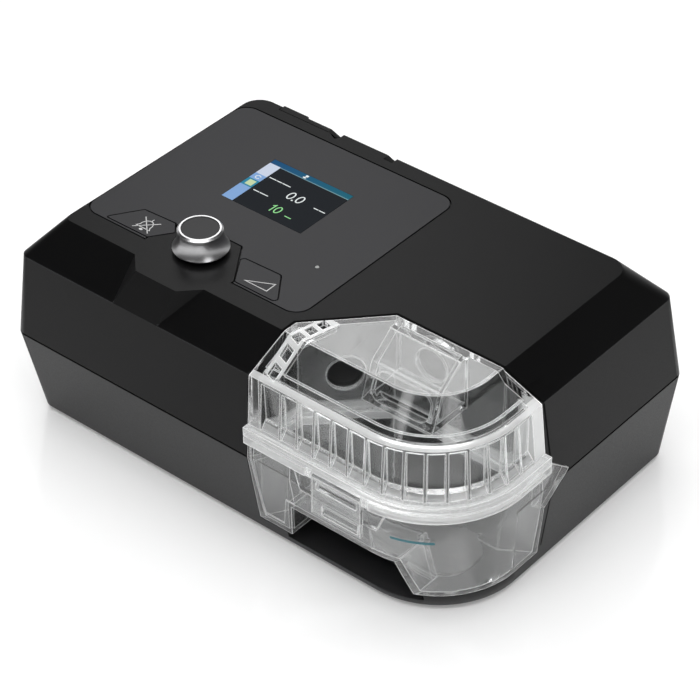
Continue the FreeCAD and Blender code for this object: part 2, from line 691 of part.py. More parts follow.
def make_button(points, r, at):
    """Flush cap on a round stem that stops just above its switch."""
    cap = soft_prism(points, r, TOP_Z - PANEL_T, TOP_Z)
    tip_z = BOARD_TOP_Z + SWITCH_H + SWITCH_TIP_H + BUTTON_TRAVEL + 0.1
    return cap.fuse(rod(at[0], at[1], tip_z, TOP_Z - PANEL_T, STEM_R))


def make_switches():
    parts = []
    for x, y in (MUTE_AT, RAMP_AT):
        h = SWITCH_W / 2
        body = box(x - h, x + h, y - h, y + h, BOARD_TOP_Z, BOARD_TOP_Z + SWITCH_H)
        z = BOARD_TOP_Z + SWITCH_H
        parts.append(body.fuse(rod(x, y, z, z + SWITCH_TIP_H, SWITCH_TIP_R)))
    return Part.makeCompound(parts)


def make_status_lens():
    return rod(LED_AT[0], LED_AT[1], BOARD_TOP_Z, TOP_Z, LED_R)


def make_main_board():
    board = box(BOARD_X0, BOARD_X1, BOARD_Y0, BOARD_Y1, BOARD_TOP_Z - BOARD_T, BOARD_TOP_Z)
    return board.cut([rod(x, y, BOARD_TOP_Z - BOARD_T, BOARD_TOP_Z, SCREW_R + SCREW_SLACK)
                      for x, y in POSTS])


def make_board_screws():
    under = BOARD_TOP_Z - BOARD_T
    parts = [rod(x, y, under - SCREW_HEAD_H, under, SCREW_HEAD_R).fuse(
        rod(x, y, under, BOARD_TOP_Z + POST_HOLE_L - SCREW_SLACK, SCREW_R)) for x, y in POSTS]
    return Part.makeCompound(parts)


# Knob and encoder.

def make_knob_ring():
    """Turned aluminium skirt: rounded foot, hollow flare, bright chamfered rim, shaft boss inside."""
    x, y = KNOB_AT
    top = KNOB_Z + KNOB_H
    rim_z = top - 2.6
    a = V(SHAFT_R + FIT, 0, KNOB_Z + 3.0)
    outer = [V(KNOB_FOOT_R - 1.0, 0, KNOB_Z), V(KNOB_FOOT_R, 0, KNOB_Z + 1.4),
             V(KNOB_NECK_R, 0, rim_z), V(KNOB_NECK_R, 0, top - 0.9),
             V(KNOB_NECK_R - 0.9, 0, top), V(KNOB_NECK_R - KNOB_RING_W, 0, top)]
    seat_z = top - KNOB_CAP_DROP - KNOB_CAP_T
    inner = [V(KNOB_NECK_R - KNOB_RING_W, 0, seat_z), V(SHAFT_R + FIT, 0, seat_z), a,
             V(SHAFT_R + 2.2, 0, KNOB_Z + 3.0), V(SHAFT_R + 2.2, 0, seat_z - 2.0),
             V(KNOB_NECK_R - KNOB_WALL, 0, seat_z - 2.0), V(KNOB_FOOT_R - 1.0 - KNOB_WALL, 0, KNOB_Z)]
    bend = V(KNOB_NECK_R + 0.55, 0, KNOB_Z + 5.6)
    edges = [Part.LineSegment(outer[0], outer[1]).toShape(),
             Part.Arc(outer[1], bend, outer[2]).toShape()]
    chain = outer[2:] + inner + outer[:1]
    edges += [Part.LineSegment(p, q).toShape() for p, q in zip(chain, chain[1:])]
    ring = Part.Face(Part.Wire(edges)).revolve(V(0, 0, 0), UP, 360)
    ring.translate(V(x, y, 0))
    return ring


def make_knob_cap():
    x, y = KNOB_AT
    top = KNOB_Z + KNOB_H - KNOB_CAP_DROP
    return rod(x, y, top - KNOB_CAP_T, top, KNOB_NECK_R - KNOB_RING_W - FIT)


def plunger_z():
    return BOARD_TOP_Z + ENCODER_H - 1.0


def make_encoder_shaft():
    x, y = KNOB_AT
    return rod(x, y, plunger_z(), KNOB_Z + KNOB_H - KNOB_CAP_DROP - KNOB_CAP_T, SHAFT_R)


def make_encoder_plunger():
    x, y = KNOB_AT
    return rod(x, y, plunger_z() - 1.4, plunger_z(), SHAFT_R)


def make_encoder_body():
    x, y = KNOB_AT
    h = ENCODER_W / 2
    body = box(x - h, x + h, y - h, y + h, BOARD_TOP_Z, BOARD_TOP_Z + ENCODER_H)
    floor = plunger_z() - 1.4 - KNOB_TRAVEL - 0.1
    return body.cut(rod(x, y, floor, BOARD_TOP_Z + ENCODER_H, SHAFT_R + FIT))


# Water chamber.

def tub_form(z0, z1, shrink):
    form = case_form(z0, z1, -shrink).common(dock_prism(z0, z1, -DOCK_GAP - shrink))
    return form.cut(scoop_prism(shrink))


def rim_plate(z0, z1, proud, inside):
    """Flat rim round the chamber's mouth, proud of the case at the front and right."""
    form = flat_form(z0, z1, proud).common(dock_prism(z0, z1, -DOCK_GAP))
    hole = flat_form(z0, z1, -inside).common(dock_prism(z0, z1, -DOCK_GAP - RIM_IN))
    return form.cut(hole)


def seal_ring(z0, z1, slack):
    """Closed loop that follows the rim a little inside its edge."""
    outer, inner = SEAL_IN - slack, SEAL_IN + SEAL_W + slack
    ring = [flat_form(RIM_Z, RIM_Z + z1 - z0, -s).common(dock_prism(RIM_Z, RIM_Z + z1 - z0, -DOCK_GAP - s))
            for s in (outer, inner)]
    loop = ring[0].cut(ring[1])
    loop.translate(V(0, 0, z0 - RIM_Z))
    return loop


def latch_notch():
    """Opening in the rim's front edge for the latch's barrel and the lid's two lugs."""
    side = LATCH_LUG_W + 2 * LATCH_GAP
    back = latch_axis()[0] + LATCH_BARREL_R + LATCH_GAP
    return box(LATCH_X0 - side, LATCH_X1 + side, -FAR, back, RIM_Z - RIM_H, RIM_Z)


def latch_apron():
    """Trapezoid raised on the tub's front below the rim, with a bay in it for the latch."""
    z0, z1 = APRON_FOOT_Z, RIM_Z - RIM_H
    pts = [(LATCH_X0 - APRON_FOOT_OUT, z0), (LATCH_X0 - APRON_HEAD_OUT, z1),
           (LATCH_X1 + APRON_HEAD_OUT, z1), (LATCH_X1 + APRON_FOOT_OUT, z0)]
    plate = case_skin(z0, z1, APRON_PROUD, TUB_WALL / 2).common(prism_y(pts, -FAR, 0))
    g = LATCH_GAP
    return plate.cut(box(LATCH_X0 - g, LATCH_X1 + g, -FAR, latch_back_y() + g, z0, z1))


def front_panel():
    """Shallow panel sunk in the tub's front, left of the latch and above the scoop."""
    x0, x1 = DOCK_X + PANEL_IN_LEAN, SCOOP_X0 - PANEL_IN_EDGE
    top = RIM_Z - RIM_H - PANEL_IN_EDGE
    over = SCOOP_TOP_Z + PANEL_IN_EDGE
    right = LATCH_X0 - APRON_HEAD_OUT - PANEL_IN_EDGE
    pts = [(x0 + PANEL_IN_LEAN, PANEL_IN_FOOT_Z), (x1, PANEL_IN_FOOT_Z), (x1 + SCOOP_LEAN_X0, over),
           (right, over), (right, top), (x0, top)]
    return case_skin(PANEL_IN_FOOT_Z, top, PANEL_IN_T, PANEL_IN_T).common(prism_y(pts, -FAR, 0))


def make_chamber_tub():
    outer = tub_form(TUB_Z, RIM_Z, 0.0)
    inner = tub_form(TUB_Z + TUB_WALL, RIM_Z, TUB_WALL)
    tub = outer.cut(inner)
    ear = ear_prism(EAR_T).common(case_form(EAR_LOW_Z, EAR_TOP_Z)).cut(inner)
    rim = rim_plate(RIM_Z - RIM_H, RIM_Z, RIM_PROUD, RIM_IN)
    tub = fuse([tub, ear, rim, latch_apron()])
    s = PLATE_SLACK
    plate = pad(PLATE_X0 - s, PLATE_X1 + s, PLATE_Y0 - s, PLATE_Y1 + s, TUB_Z, TUB_Z + TUB_WALL, PLATE_R)
    groove = seal_ring(RIM_Z - SEAL_H + LID_GAP, RIM_Z, SEAL_SLACK)
    return tub.cut([plate, groove, latch_notch(), front_panel()])


def make_chamber_plate():
    """Pressed metal plate: its sole passes through the tub's floor, its lip rests on it."""
    sole = pad(PLATE_X0, PLATE_X1, PLATE_Y0, PLATE_Y1, TUB_Z, TUB_Z + TUB_WALL, PLATE_R)
    e = PLATE_LIP
    z = TUB_Z + TUB_WALL
    lip = pad(PLATE_X0 - e, PLATE_X1 + e, PLATE_Y0 + 0.6, PLATE_Y1 + e, z, z + PLATE_LIP_T, PLATE_R)
    return sole.fuse(lip)


def make_chamber_seal():
    return seal_ring(RIM_Z - SEAL_H + LID_GAP, RIM_Z + LID_GAP, 0.0)


def rib_stations():
    """Place and outward direction of each rib along the lid's front, corner and side."""
    mid_z = (LID_Z + SHOULDER_Z) / 2
    y0, x1 = front_y(mid_z), side_x(mid_z)
    r = level(mid_z)[1][2]
    cx, cy = x1 - r, y0 + r
    straight = cx - RIB_START_X
    stations = []
    for i in range(RIB_COUNT):
        s = i * RIB_PITCH
        turn = min(max((s - straight) / r, 0.0), math.pi / 2)
        past = max(s - straight - r * math.pi / 2, 0.0)
        x = min(RIB_START_X + s, cx) + r * math.sin(turn)
        y = cy - r * math.cos(turn) + past
        stations.append((x, y, turn))
    return stations


def lid_ribs():
    ribs = []
    for x, y, turn in rib_stations():
        rib = box(-RIB_T / 2, RIB_T / 2, -6.0, 9.0, LID_Z + FLANGE_H, SHOULDER_Z)
        rib.rotate(V(0, 0, 0), UP, math.degrees(turn))
        rib.translate(V(x, y, 0))
        ribs.append(rib)
    return ribs


def lid_wall(inset_foot, inset_head, z0, z1):
    """Upright ribbed wall, leaning in towards its foot."""
    return Part.makeLoft([case_section(z0, -inset_foot), case_section(z1, -inset_head)], True, True)


def band_points(grow):
    lean = V(BAND_X1 - BAND_X0, BAND_Y1 - BAND_Y0, 0).normalize()
    side = V(lean.y, -lean.x, 0) * (BAND_W / 2 + grow)
    a = V(BAND_X0, BAND_Y0, 0)
    b = V(BAND_X1, BAND_Y1, 0)
    return [(p.x, p.y) for p in (a - side, b - side, b + side, a + side)]


def band_pockets():
    """Five blind pockets, evenly spaced along the band."""
    lean = V(BAND_X1 - BAND_X0, BAND_Y1 - BAND_Y0, 0)
    along = V(lean).normalize() * (POCKET_L / 2)
    side = V(along.y, -along.x, 0).normalize() * (POCKET_W / 2)
    skin = case_form(LID_Z, TOP_Z).cut(case_form(LID_Z, TOP_Z).translated(V(0, 0, -POCKET_DEEP)))
    pockets = []
    for i in range(POCKET_COUNT):
        c = V(BAND_X0, BAND_Y0, 0) + lean * ((i + POCKET_START) / (POCKET_COUNT + POCKET_END))
        pts = [c - along - side, c + along - side, c + along + side, c - along + side]
        pockets.append(prism([(p.x, p.y) for p in pts], SHOULDER_Z - 4, TOP_Z).common(skin))
    return pockets


def duct_profile(shrink):
    """Side view of the lid's duct, in Y and Z."""
    back = DOCK_BACK_Y - DOCK_GAP
    pts = [(MOUTH_LOW_Y, MOUTH_LOW_Z), (MOUTH_TOP_Y, MOUTH_TOP_Z), (back - 5.0, TOP_Z - 0.5),
           (back, TOP_Z - 0.5), (back, MOUTH_LOW_Z)]
    return offset(pts, -shrink)


def lid_duct():
    """Box duct with a rounded mouth in its sloping front."""
    w = DUCT_WALL
    shell = prism_x(duct_profile(0.0), DUCT_X0, DUCT_X1)
    hollow = prism_x(duct_profile(w), DUCT_X0 + w, DUCT_X1 - w)
    mid = (DUCT_X0 + DUCT_X1) / 2
    height = math.hypot(MOUTH_TOP_Y - MOUTH_LOW_Y, MOUTH_TOP_Z - MOUTH_LOW_Z) - 2 * w
    mouth = pad(mid - MOUTH_W / 2, mid + MOUTH_W / 2, -height / 2, height / 2, -6.0, 6.0, MOUTH_R)
    tilt = math.degrees(math.atan2(MOUTH_TOP_Z - MOUTH_LOW_Z, MOUTH_TOP_Y - MOUTH_LOW_Y))
    mouth.rotate(V(mid, 0, 0), V(1, 0, 0), tilt)
    mouth.translate(V(0, (MOUTH_TOP_Y + MOUTH_LOW_Y) / 2, (MOUTH_TOP_Z + MOUTH_LOW_Z) / 2))
    return shell, fuse([hollow, mouth])


def latch_axis():
    """Hinge line of the latch, in Y and Z, half way up the tub's rim."""
    return front_y(LID_Z) - FLANGE_PROUD + LATCH_BARREL_R, RIM_Z - RIM_H / 2


def latch_back_y():
    return front_y(SEAM_Z) - LATCH_GAP


def lid_cove():
    """Solid slope that joins the flange to the foot of the ribbed wall."""
    z0 = LID_Z + FLANGE_H
    head_in = WALL_FOOT_IN - (WALL_FOOT_IN - WALL_HEAD_IN) * COVE_H / (SHOULDER_Z - z0)
    slope = Part.makeLoft([case_section(z0, -COVE_IN), case_section(z0 + COVE_H, -head_in)], True, True)
    w = LID_WALL / 2
    return slope.cut(lid_wall(WALL_FOOT_IN + w, WALL_HEAD_IN + w, z0, SHOULDER_Z))


def latch_lugs():
    """Two lugs under the flange that hold the latch's pin, and the hole for it."""
    y, z = latch_axis()
    r, g = LATCH_BARREL_R, LATCH_GAP
    ends = [(LATCH_X0 - g - LATCH_LUG_W, LATCH_X0 - g), (LATCH_X1 + g, LATCH_X1 + g + LATCH_LUG_W)]
    lugs = [box(a, b, y - r, y + r, z - r, LID_Z + 1) for a, b in ends]
    hole = rod_between(V(ends[0][0], y, z), V(ends[1][1], y, z), LATCH_PIN_R + FIT)
    return lugs, hole


def make_chamber_lid():
    foot_z = LID_Z + FLANGE_H
    roof = case_form(SHOULDER_Z - 1.5, TOP_Z)
    wall = lid_wall(WALL_FOOT_IN, WALL_HEAD_IN, foot_z, SHOULDER_Z)
    ends = case_form(foot_z, SHOULDER_Z)
    left_end = ends.common(box(DOCK_X, DOCK_X + END_PANEL_W, -FAR, -40, foot_z, SHOULDER_Z))
    right_end = ends.common(box(80, FAR, DOCK_SIDE_Y - END_PANEL_W, 0, foot_z, SHOULDER_Z))
    ribs = [rib.common(ends) for rib in lid_ribs()]
    outer = fuse([wall, roof, left_end, right_end, lid_cove()] + ribs)
    outer = outer.common(dock_prism(foot_z, TOP_Z, -DOCK_GAP))
    flange = rim_plate(LID_Z, foot_z, FLANGE_PROUD, WALL_FOOT_IN + LID_WALL)
    w = LID_WALL
    upright = lid_wall(WALL_FOOT_IN + w, WALL_HEAD_IN + w, LID_Z, SHOULDER_Z)
    crown = Part.makeLoft([case_section(SHOULDER_Z, -WALL_HEAD_IN - w),
                           case_section(TOP_Z, -w, TOP_Z - w)], True, True)
    hollow = upright.fuse(crown).common(dock_prism(LID_Z, TOP_Z - w, -DOCK_GAP - w))
    band = case_form(foot_z, TOP_Z).common(prism(band_points(0.0), SHOULDER_Z - 3, TOP_Z))
    thick_band = band.cut(case_form(foot_z, TOP_Z).translated(V(0, 0, -BAND_T)))
    duct, duct_hollow = lid_duct()
    hollow = hollow.cut([thick_band, duct])
    rail_z = (SHOULDER_Z - RAIL_DOWN, SHOULDER_Z + RAIL_UP)
    rail = case_skin(*rail_z, 0.0, RAIL_IN).common(dock_prism(*rail_z, -DOCK_GAP))
    lugs, pin = latch_lugs()
    lid = fuse([outer.fuse(flange).cut(hollow), rail] + lugs)
    cuts = band_pockets() + [duct_hollow, pin]
    cuts += [port_hole(PORT_IN, V(0, 1, 0), PORT_R).common(box(0, FAR, -40, 0, 0, TOP_Z)),
             Part.makeCylinder(PORT_R, PORT_REACH, PORT_OUT - SLANT_OUT * (PORT_REACH - 1), SLANT_OUT)]
    return lid.cut(cuts)


def make_lid_latch():
    """Clip on a barrel, with a grip window above its bar and a slot below it."""
    axis_y, axis_z = latch_axis()
    barrel = rod_between(V(LATCH_X0, axis_y, axis_z), V(LATCH_X1, axis_y, axis_z), LATCH_BARREL_R)
    back = latch_back_y()
    blade = box(LATCH_X0, LATCH_X1, back - LATCH_T, back, LATCH_Z0, axis_z)
    window = box(LATCH_WINDOW_X0, LATCH_WINDOW_X1, -FAR, back, LATCH_WINDOW_Z0, LATCH_WINDOW_Z1)
    slot = box(LATCH_SLOT_X0, LATCH_SLOT_X1, -FAR, back, LATCH_SLOT_Z0, LATCH_SLOT_Z1)
    hole = rod_between(V(LATCH_X0, axis_y, axis_z), V(LATCH_X1, axis_y, axis_z), LATCH_PIN_R + FIT)
    return blade.cut([window, slot]).fuse(barrel).cut(hole)


def make_latch_pin():
    axis_y, axis_z = latch_axis()
    reach = LATCH_GAP + LATCH_LUG_W
    return rod_between(V(LATCH_X0 - reach, axis_y, axis_z), V(LATCH_X1 + reach, axis_y, axis_z),
                       LATCH_PIN_R)


def make_heater_plate():
    top = TUB_Z - HEATER_GAP
    return pad(PLATE_X0, PLATE_X1, PLATE_Y0, PLATE_Y1, top - HEATER_T, top, PLATE_R)


def make_heater_pad():
    return pad(PLATE_X0, PLATE_X1, PLATE_Y0, PLATE_Y1, WELL_Z, TUB_Z - HEATER_GAP - HEATER_T, PLATE_R)


# Blower and air path.

def blower_shell():
    x, y = BLOWER_AT
    w = BLOWER_WALL
    drum = fuse([rod(x, y, VOLUTE_Z0 - w, BLOWER_Z1, BLOWER_R),
                 rod(x, y, BLOWER_Z0, VOLUTE_Z0 - w, MOTOR_R + w)])
    spigot = rod_between(V(x, SPIGOT_Y, BLOWER_SPLIT_Z), V(SPIGOT_END_X, SPIGOT_Y, BLOWER_SPLIT_Z),
                         TUBE_R + TUBE_WALL)
    volute = rod(x, y, VOLUTE_Z0, BLOWER_Z1 - w, BLOWER_R - w)
    throat = rod_between(V(x, SPIGOT_Y, BLOWER_SPLIT_Z), V(SPIGOT_END_X, SPIGOT_Y, BLOWER_SPLIT_Z), TUBE_R)
    throat = throat.common(box(x, SPIGOT_END_X, -FAR, FAR, VOLUTE_Z0, BLOWER_Z1 - w))
    motor = rod(x, y, BLOWER_Z0 + w, VOLUTE_Z0 - w, MOTOR_R)
    collar = rod(x, y, VOLUTE_Z0 - w, VOLUTE_Z0, ROTOR_SHAFT_R + FIT)
    eye = rod(x, y, BLOWER_Z1 - w, BLOWER_Z1, EYE_R)
    return fuse([drum, spigot]).cut([volute, throat, motor, collar, eye])


def make_blower_lower():
    return blower_shell().common(box(-FAR, FAR, -FAR, FAR, 0, BLOWER_SPLIT_Z))


def make_blower_upper():
    return blower_shell().common(box(-FAR, FAR, -FAR, FAR, BLOWER_SPLIT_Z, FAR))


def make_blower_mounts():
    """Three rubber pillars under the blower."""
    x, y = BLOWER_AT
    parts = []
    for i in range(3):
        a = math.radians(120 * i - 90)
        reach = BLOWER_R - 1.5 * MOUNT_R
        parts.append(rod(x + reach * math.cos(a), y + reach * math.sin(a),
                         BASE_Z + FLOOR_T, VOLUTE_Z0 - BLOWER_WALL, MOUNT_R))
    return Part.makeCompound(parts)


def make_impeller():
    """Backplate with a hub and swept-back blades."""
    x, y = BLOWER_AT
    z = VOLUTE_Z0 + 1.5
    plate = rod(x, y, z, z + 1.4, IMPELLER_R)
    hub = rod(x, y, z, z + IMPELLER_H, ROTOR_SHAFT_R + 3.5)
    blades = []
    for i in range(BLADES):
        blade = box(7.0, IMPELLER_R, -0.6, 0.6, z, z + IMPELLER_H)
        blade.rotate(V(7.0, 0, 0), UP, -28)
        blade = blade.common(rod(0, 0, z, z + IMPELLER_H, IMPELLER_R))
        blade.rotate(V(0, 0, 0), UP, 360 * i / BLADES)
        blade.translate(V(x, y, 0))
        blades.append(blade)
    wheel = fuse([plate, hub] + blades)
    return wheel.cut(rod(x, y, z, z + IMPELLER_H - 2, ROTOR_SHAFT_R))


def make_rotor():
    x, y = BLOWER_AT
    low = BLOWER_Z0 + BLOWER_WALL + 0.3
    magnet = rod(x, y, low, VOLUTE_Z0 - BLOWER_WALL - 0.3, ROTOR_R)
    return magnet.fuse(rod(x, y, low, VOLUTE_Z0 + 1.5 + IMPELLER_H - 2, ROTOR_SHAFT_R))


def make_motor_stator():
    """Wound ring round the rotor, held in the blower's lower half."""
    x, y = BLOWER_AT
    z0 = BLOWER_Z0 + BLOWER_WALL
    ring = rod(x, y, z0, z0 + STATOR_H, MOTOR_R - FIT)
    half = STATOR_SLOT_W / 2
    slots = []
    for i in range(6):
        slot = box(ROTOR_R, MOTOR_R - STATOR_BACK_T, -half, half, z0, z0 + STATOR_H)
        slot.rotate(V(0, 0, 0), UP, 60 * i)
        slot.translate(V(x, y, 0))
        slots.append(slot)
    return ring.cut([rod(x, y, z0, z0 + STATOR_H, ROTOR_R + 0.4)] + slots)


def make_inlet_muffler():
    """Quiet inlet: a box against the filter bay's slots, turning down over the blower's eye."""
    x, y = BLOWER_AT
    z0 = BLOWER_Z1
    back = BAY_DEPTH_Y - CASE_WALL
    w = MUFFLER_WALL
    front, neck, top = y - MUFFLER_FRONT, back - MUFFLER_NECK, BOARD_TOP_Z - BOARD_T - 2
    outer = fuse([box(BAY_X0, MUFFLER_X1, front, back, z0, MUFFLER_TOP_Z),
                  box(BAY_X0, BAY_X1, neck, back, z0, top)])
    inner = fuse([box(BAY_X0 + w, MUFFLER_X1 - w, front + w, back - w, z0 + w, MUFFLER_TOP_Z - w),
                  box(BAY_X0 + w, BAY_X1 - w, neck + w, back, BAY_Z0 + w, top - w)])
    return outer.cut([inner, rod(x, y, z0, z0 + w, EYE_R)])


def make_inlet_duct():
    """From the blower's spigot to the port in the dock's back wall."""
    start = V(SPIGOT_END_X, SPIGOT_Y, BLOWER_SPLIT_Z)
    end = PORT_IN + V(0, CASE_WALL, 0)
    bend = V(end.x / 2, SPIGOT_Y, BLOWER_SPLIT_Z)
    turn = V(end.x, end.y + DUCT_STRAIGHT, end.z)
    return tube([start, bend, turn, end], TUBE_R, TUBE_WALL)


def make_outlet_duct():
    """From the port in the dock's slanted wall back to the hose port."""
    start = PORT_OUT + SLANT_OUT * CASE_WALL
    hx, hz = HOSE_AT
    bend = start + SLANT_OUT * ((start.x - hx) / -SLANT_OUT.x)
    end = V(hx, HOSE_SEAT_Y - CASE_WALL - HOSE_COLLAR_T, hz)
    turn = V(hx, end.y - DUCT_STRAIGHT / 2, hz)
    return tube([start, bend, turn, end], TUBE_R, TUBE_WALL)


def make_hose_port():
    """22 mm outlet spigot; a collar behind the recess's floor and a foot through its hole."""
    hx, hz = HOSE_AT
    under = HOSE_SEAT_Y - CASE_WALL
    inner = V(hx, under - HOSE_COLLAR_T, hz)
    tip = V(hx, HOSE_TIP_Y, hz)
    collar = rod_between(inner, V(hx, under, hz), HOSE_COLLAR_R)
    foot = rod_between(inner, V(hx, HOSE_SEAT_Y + HOSE_STEP_PROUD, hz), HOSE_STEP_R)
    shank = rod_between(inner, tip, HOSE_R)
    return fuse([collar, foot, shank]).cut(rod_between(inner, tip, HOSE_R - HOSE_WALL))


# Filter cover, filter, sockets, feet, screws.

def cover_axis():
    """Hinge line of the cover, in Y and Z, along its lower edge."""
    z = BAY_Z0 + COVER_GAP + COVER_BARREL_R
    return back_y(BAY_Z0) - COVER_BARREL_R - 0.4, z


def make_filter_cover():
    """Skin that completes the case's back and chamfer, with a grip along its top."""
    g = COVER_GAP
    x0, x1 = BAY_X0 + g, BAY_X1 - g
    axis_y, axis_z = cover_axis()
    zone = box(x0, x1, BAY_DEPTH_Y + g, FAR, axis_z, TOP_Z)
    skin = case_form(BAY_Z0, TOP_Z).cut(case_form(BAY_Z0 - 5, TOP_Z - COVER_T, -COVER_T)).common(zone)
    grip = box(x0, (x0 + x1) / 2, BAY_DEPTH_Y + g, back_y(TOP_Z) + COVER_LIFT, TOP_Z - 2.0, TOP_Z)
    barrel = rod_between(V(x0, axis_y, axis_z), V(x1, axis_y, axis_z), COVER_BARREL_R)
    pin = rod_between(V(x0 - COVER_PIN_L + g, axis_y, axis_z),
                      V(x1 + COVER_PIN_L - g, axis_y, axis_z), COVER_PIN_R)
    slots = []
    count = int((x1 - x0 - 6.0) // COVER_SLOT_PITCH)
    first = (x0 + x1 - (count - 1) * COVER_SLOT_PITCH) / 2
    for i in range(count):
        x = first + i * COVER_SLOT_PITCH
        slots.append(box(x - COVER_SLOT_W / 2, x + COVER_SLOT_W / 2, BAY_DEPTH_Y, FAR,
                         COVER_SLOT_Z0, COVER_SLOT_Z1))
    return fuse([skin, grip, barrel, pin]).cut(slots)


def make_filter_pad():
    g = COVER_GAP
    return box(BAY_X0 + g, BAY_X1 - g, BAY_DEPTH_Y, BAY_DEPTH_Y + FILTER_T, FILTER_Z0, FILTER_Z1)


def make_power_jack():
    jx, jz = JACK_AT
    h = JACK_W / 2
    face_y = back_y(jz - h) - 0.5
    body = box(jx - h, jx + h, face_y - JACK_L, face_y, jz - h, jz + h)
    return body.cut(rod_between(V(jx, face_y - JACK_BORE_L, jz), V(jx, face_y, jz), JACK_R))


def make_card_socket():
    cx, cz = CARD_AT
    face_y = back_y(cz) - CASE_WALL - 0.5
    w, h, s = CARD_W / 2, CARD_H / 2, CARD_SHELL
    body = box(cx - w - s, cx + w + s, face_y - CARD_L, face_y, cz - h - s, cz + h + s)
    return body.cut(box(cx - w, cx + w, face_y - CARD_L + s, face_y, cz - h, cz + h))


def make_rear_board():
    """Small board that carries the power inlet and the card socket."""
    jx, jz = JACK_AT
    x0 = CARD_AT[0] - CARD_W / 2 - REAR_BOARD_SIDE
    x1 = jx + JACK_W / 2 + REAR_BOARD_SIDE
    y1 = back_y(jz - JACK_W) - CASE_WALL - 2
    low = jz - JACK_W / 2
    return box(x0, x1, y1 - REAR_BOARD_D, y1, low - BOARD_T, low)


def make_feet():
    parts = [rod(x, y, 0, FOOT_H + FOOT_RECESS, FOOT_R) for x, y in FEET]
    return Part.makeCompound(parts)


def make_case_screws():
    parts = []
    for x, y in SCREWS:
        head = rod(x, y, BASE_Z + 0.2, BASE_Z + SCREW_HEAD_H, SCREW_HEAD_R)
        parts.append(head.fuse(rod(x, y, BASE_Z + 0.2, SEAM_Z + BOSS_TOP_H - 3, SCREW_R)))
    return Part.makeCompound(parts)


PIECES = {
    "base_case": make_base_case,
    "top_case": make_top_case,
    "control_panel": make_control_panel,
    "display_window": make_display_window,
    "display_module": make_display_module,
    "mute_button": lambda: make_button(MUTE_PTS, MUTE_R, MUTE_AT),
    "ramp_button": lambda: make_button(RAMP_PTS, RAMP_R, RAMP_AT),
    "button_switches": make_switches,
    "status_lens": make_status_lens,
    "main_board": make_main_board,
    "board_screws": make_board_screws,
    "knob_ring": make_knob_ring,
    "knob_cap": make_knob_cap,
    "encoder_shaft": make_encoder_shaft,
    "encoder_plunger": make_encoder_plunger,
    "encoder_body": make_encoder_body,
    "chamber_tub": make_chamber_tub,
    "chamber_plate": make_chamber_plate,
    "chamber_seal": make_chamber_seal,
    "chamber_lid": make_chamber_lid,
    "lid_latch": make_lid_latch,
    "latch_pin": make_latch_pin,
    "heater_plate": make_heater_plate,
    "heater_pad": make_heater_pad,
    "port_seal_in": lambda: port_seal(PORT_IN, V(0, 1, 0)),
    "port_seal_out": lambda: port_seal(PORT_OUT, SLANT_OUT),
    "blower_lower": make_blower_lower,
    "blower_upper": make_blower_upper,
    "blower_mounts": make_blower_mounts,
    "impeller": make_impeller,
    "rotor": make_rotor,
    "motor_stator": make_motor_stator,
    "inlet_muffler": make_inlet_muffler,
    "inlet_duct": make_inlet_duct,
    "outlet_duct": make_outlet_duct,
    "hose_port": make_hose_port,
    "filter_cover": make_filter_cover,
    "filter_pad": make_filter_pad,
    "power_jack": make_power_jack,
    "card_socket": make_card_socket,
    "rear_board": make_rear_board,
    "rubber_feet": make_feet,
    "case_screws": make_case_screws,
}

# Middle of the full extent: the case's left side to the lid's flange, the flange to the hose port.
MIDDLE = V((side_x(LID_Z) + FLANGE_PROUD - CASE_W / 2) / 2,
           (front_y(LID_Z) - FLANGE_PROUD + HOSE_TIP_Y) / 2, 0)

os.makedirs("parts", exist_ok=True)
for name, make in PIECES.items():
    shape = make()
    shape.translate(-MIDDLE)
    shape.exportStep("parts/" + name + ".step")
    print(name, len(shape.Solids), shape.isValid(), round(shape.Volume / 1000, 2))
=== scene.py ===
import bpy
import math
import numpy as np
from mathutils import Matrix, Vector


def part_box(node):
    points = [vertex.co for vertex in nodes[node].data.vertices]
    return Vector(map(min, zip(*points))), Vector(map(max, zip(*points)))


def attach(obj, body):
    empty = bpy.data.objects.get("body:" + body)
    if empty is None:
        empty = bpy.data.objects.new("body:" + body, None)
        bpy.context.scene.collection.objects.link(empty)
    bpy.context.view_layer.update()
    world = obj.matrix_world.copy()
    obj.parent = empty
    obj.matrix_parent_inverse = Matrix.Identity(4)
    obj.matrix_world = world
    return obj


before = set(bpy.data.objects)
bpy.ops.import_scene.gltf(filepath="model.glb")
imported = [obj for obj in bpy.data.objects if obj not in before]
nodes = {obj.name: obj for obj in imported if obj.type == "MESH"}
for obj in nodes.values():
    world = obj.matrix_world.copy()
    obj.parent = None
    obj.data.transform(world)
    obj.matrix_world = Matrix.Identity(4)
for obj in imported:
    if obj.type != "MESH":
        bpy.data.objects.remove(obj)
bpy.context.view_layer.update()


# Studio table: a white acrylic sheet with a low, soft gloss. A broad soft box hangs over it,
# with smaller ones behind, in front and at the right, and the room above is dim.

# Half the sheet's width in metres, patches of tone to the metre, the share of light that its
# gloss sends back, and the glow that the camera, gloss and clear parts see in it.
TABLE_HALF = 4.0
TABLE_PATCHES = 1.3
TABLE_GLOSS = 0.17
TABLE_GLOW = 0.22


def linear(hex_colour):
    """sRGB hex to linear RGBA: each channel c becomes ((c + 0.055) / 1.055) to the power 2.4,
    or c / 12.92 where it is very dark."""
    channels = [int(hex_colour[i:i + 2], 16) / 255 for i in (1, 3, 5)]
    return [c / 12.92 if c <= 0.04045 else ((c + 0.055) / 1.055) ** 2.4 for c in channels] + [1.0]


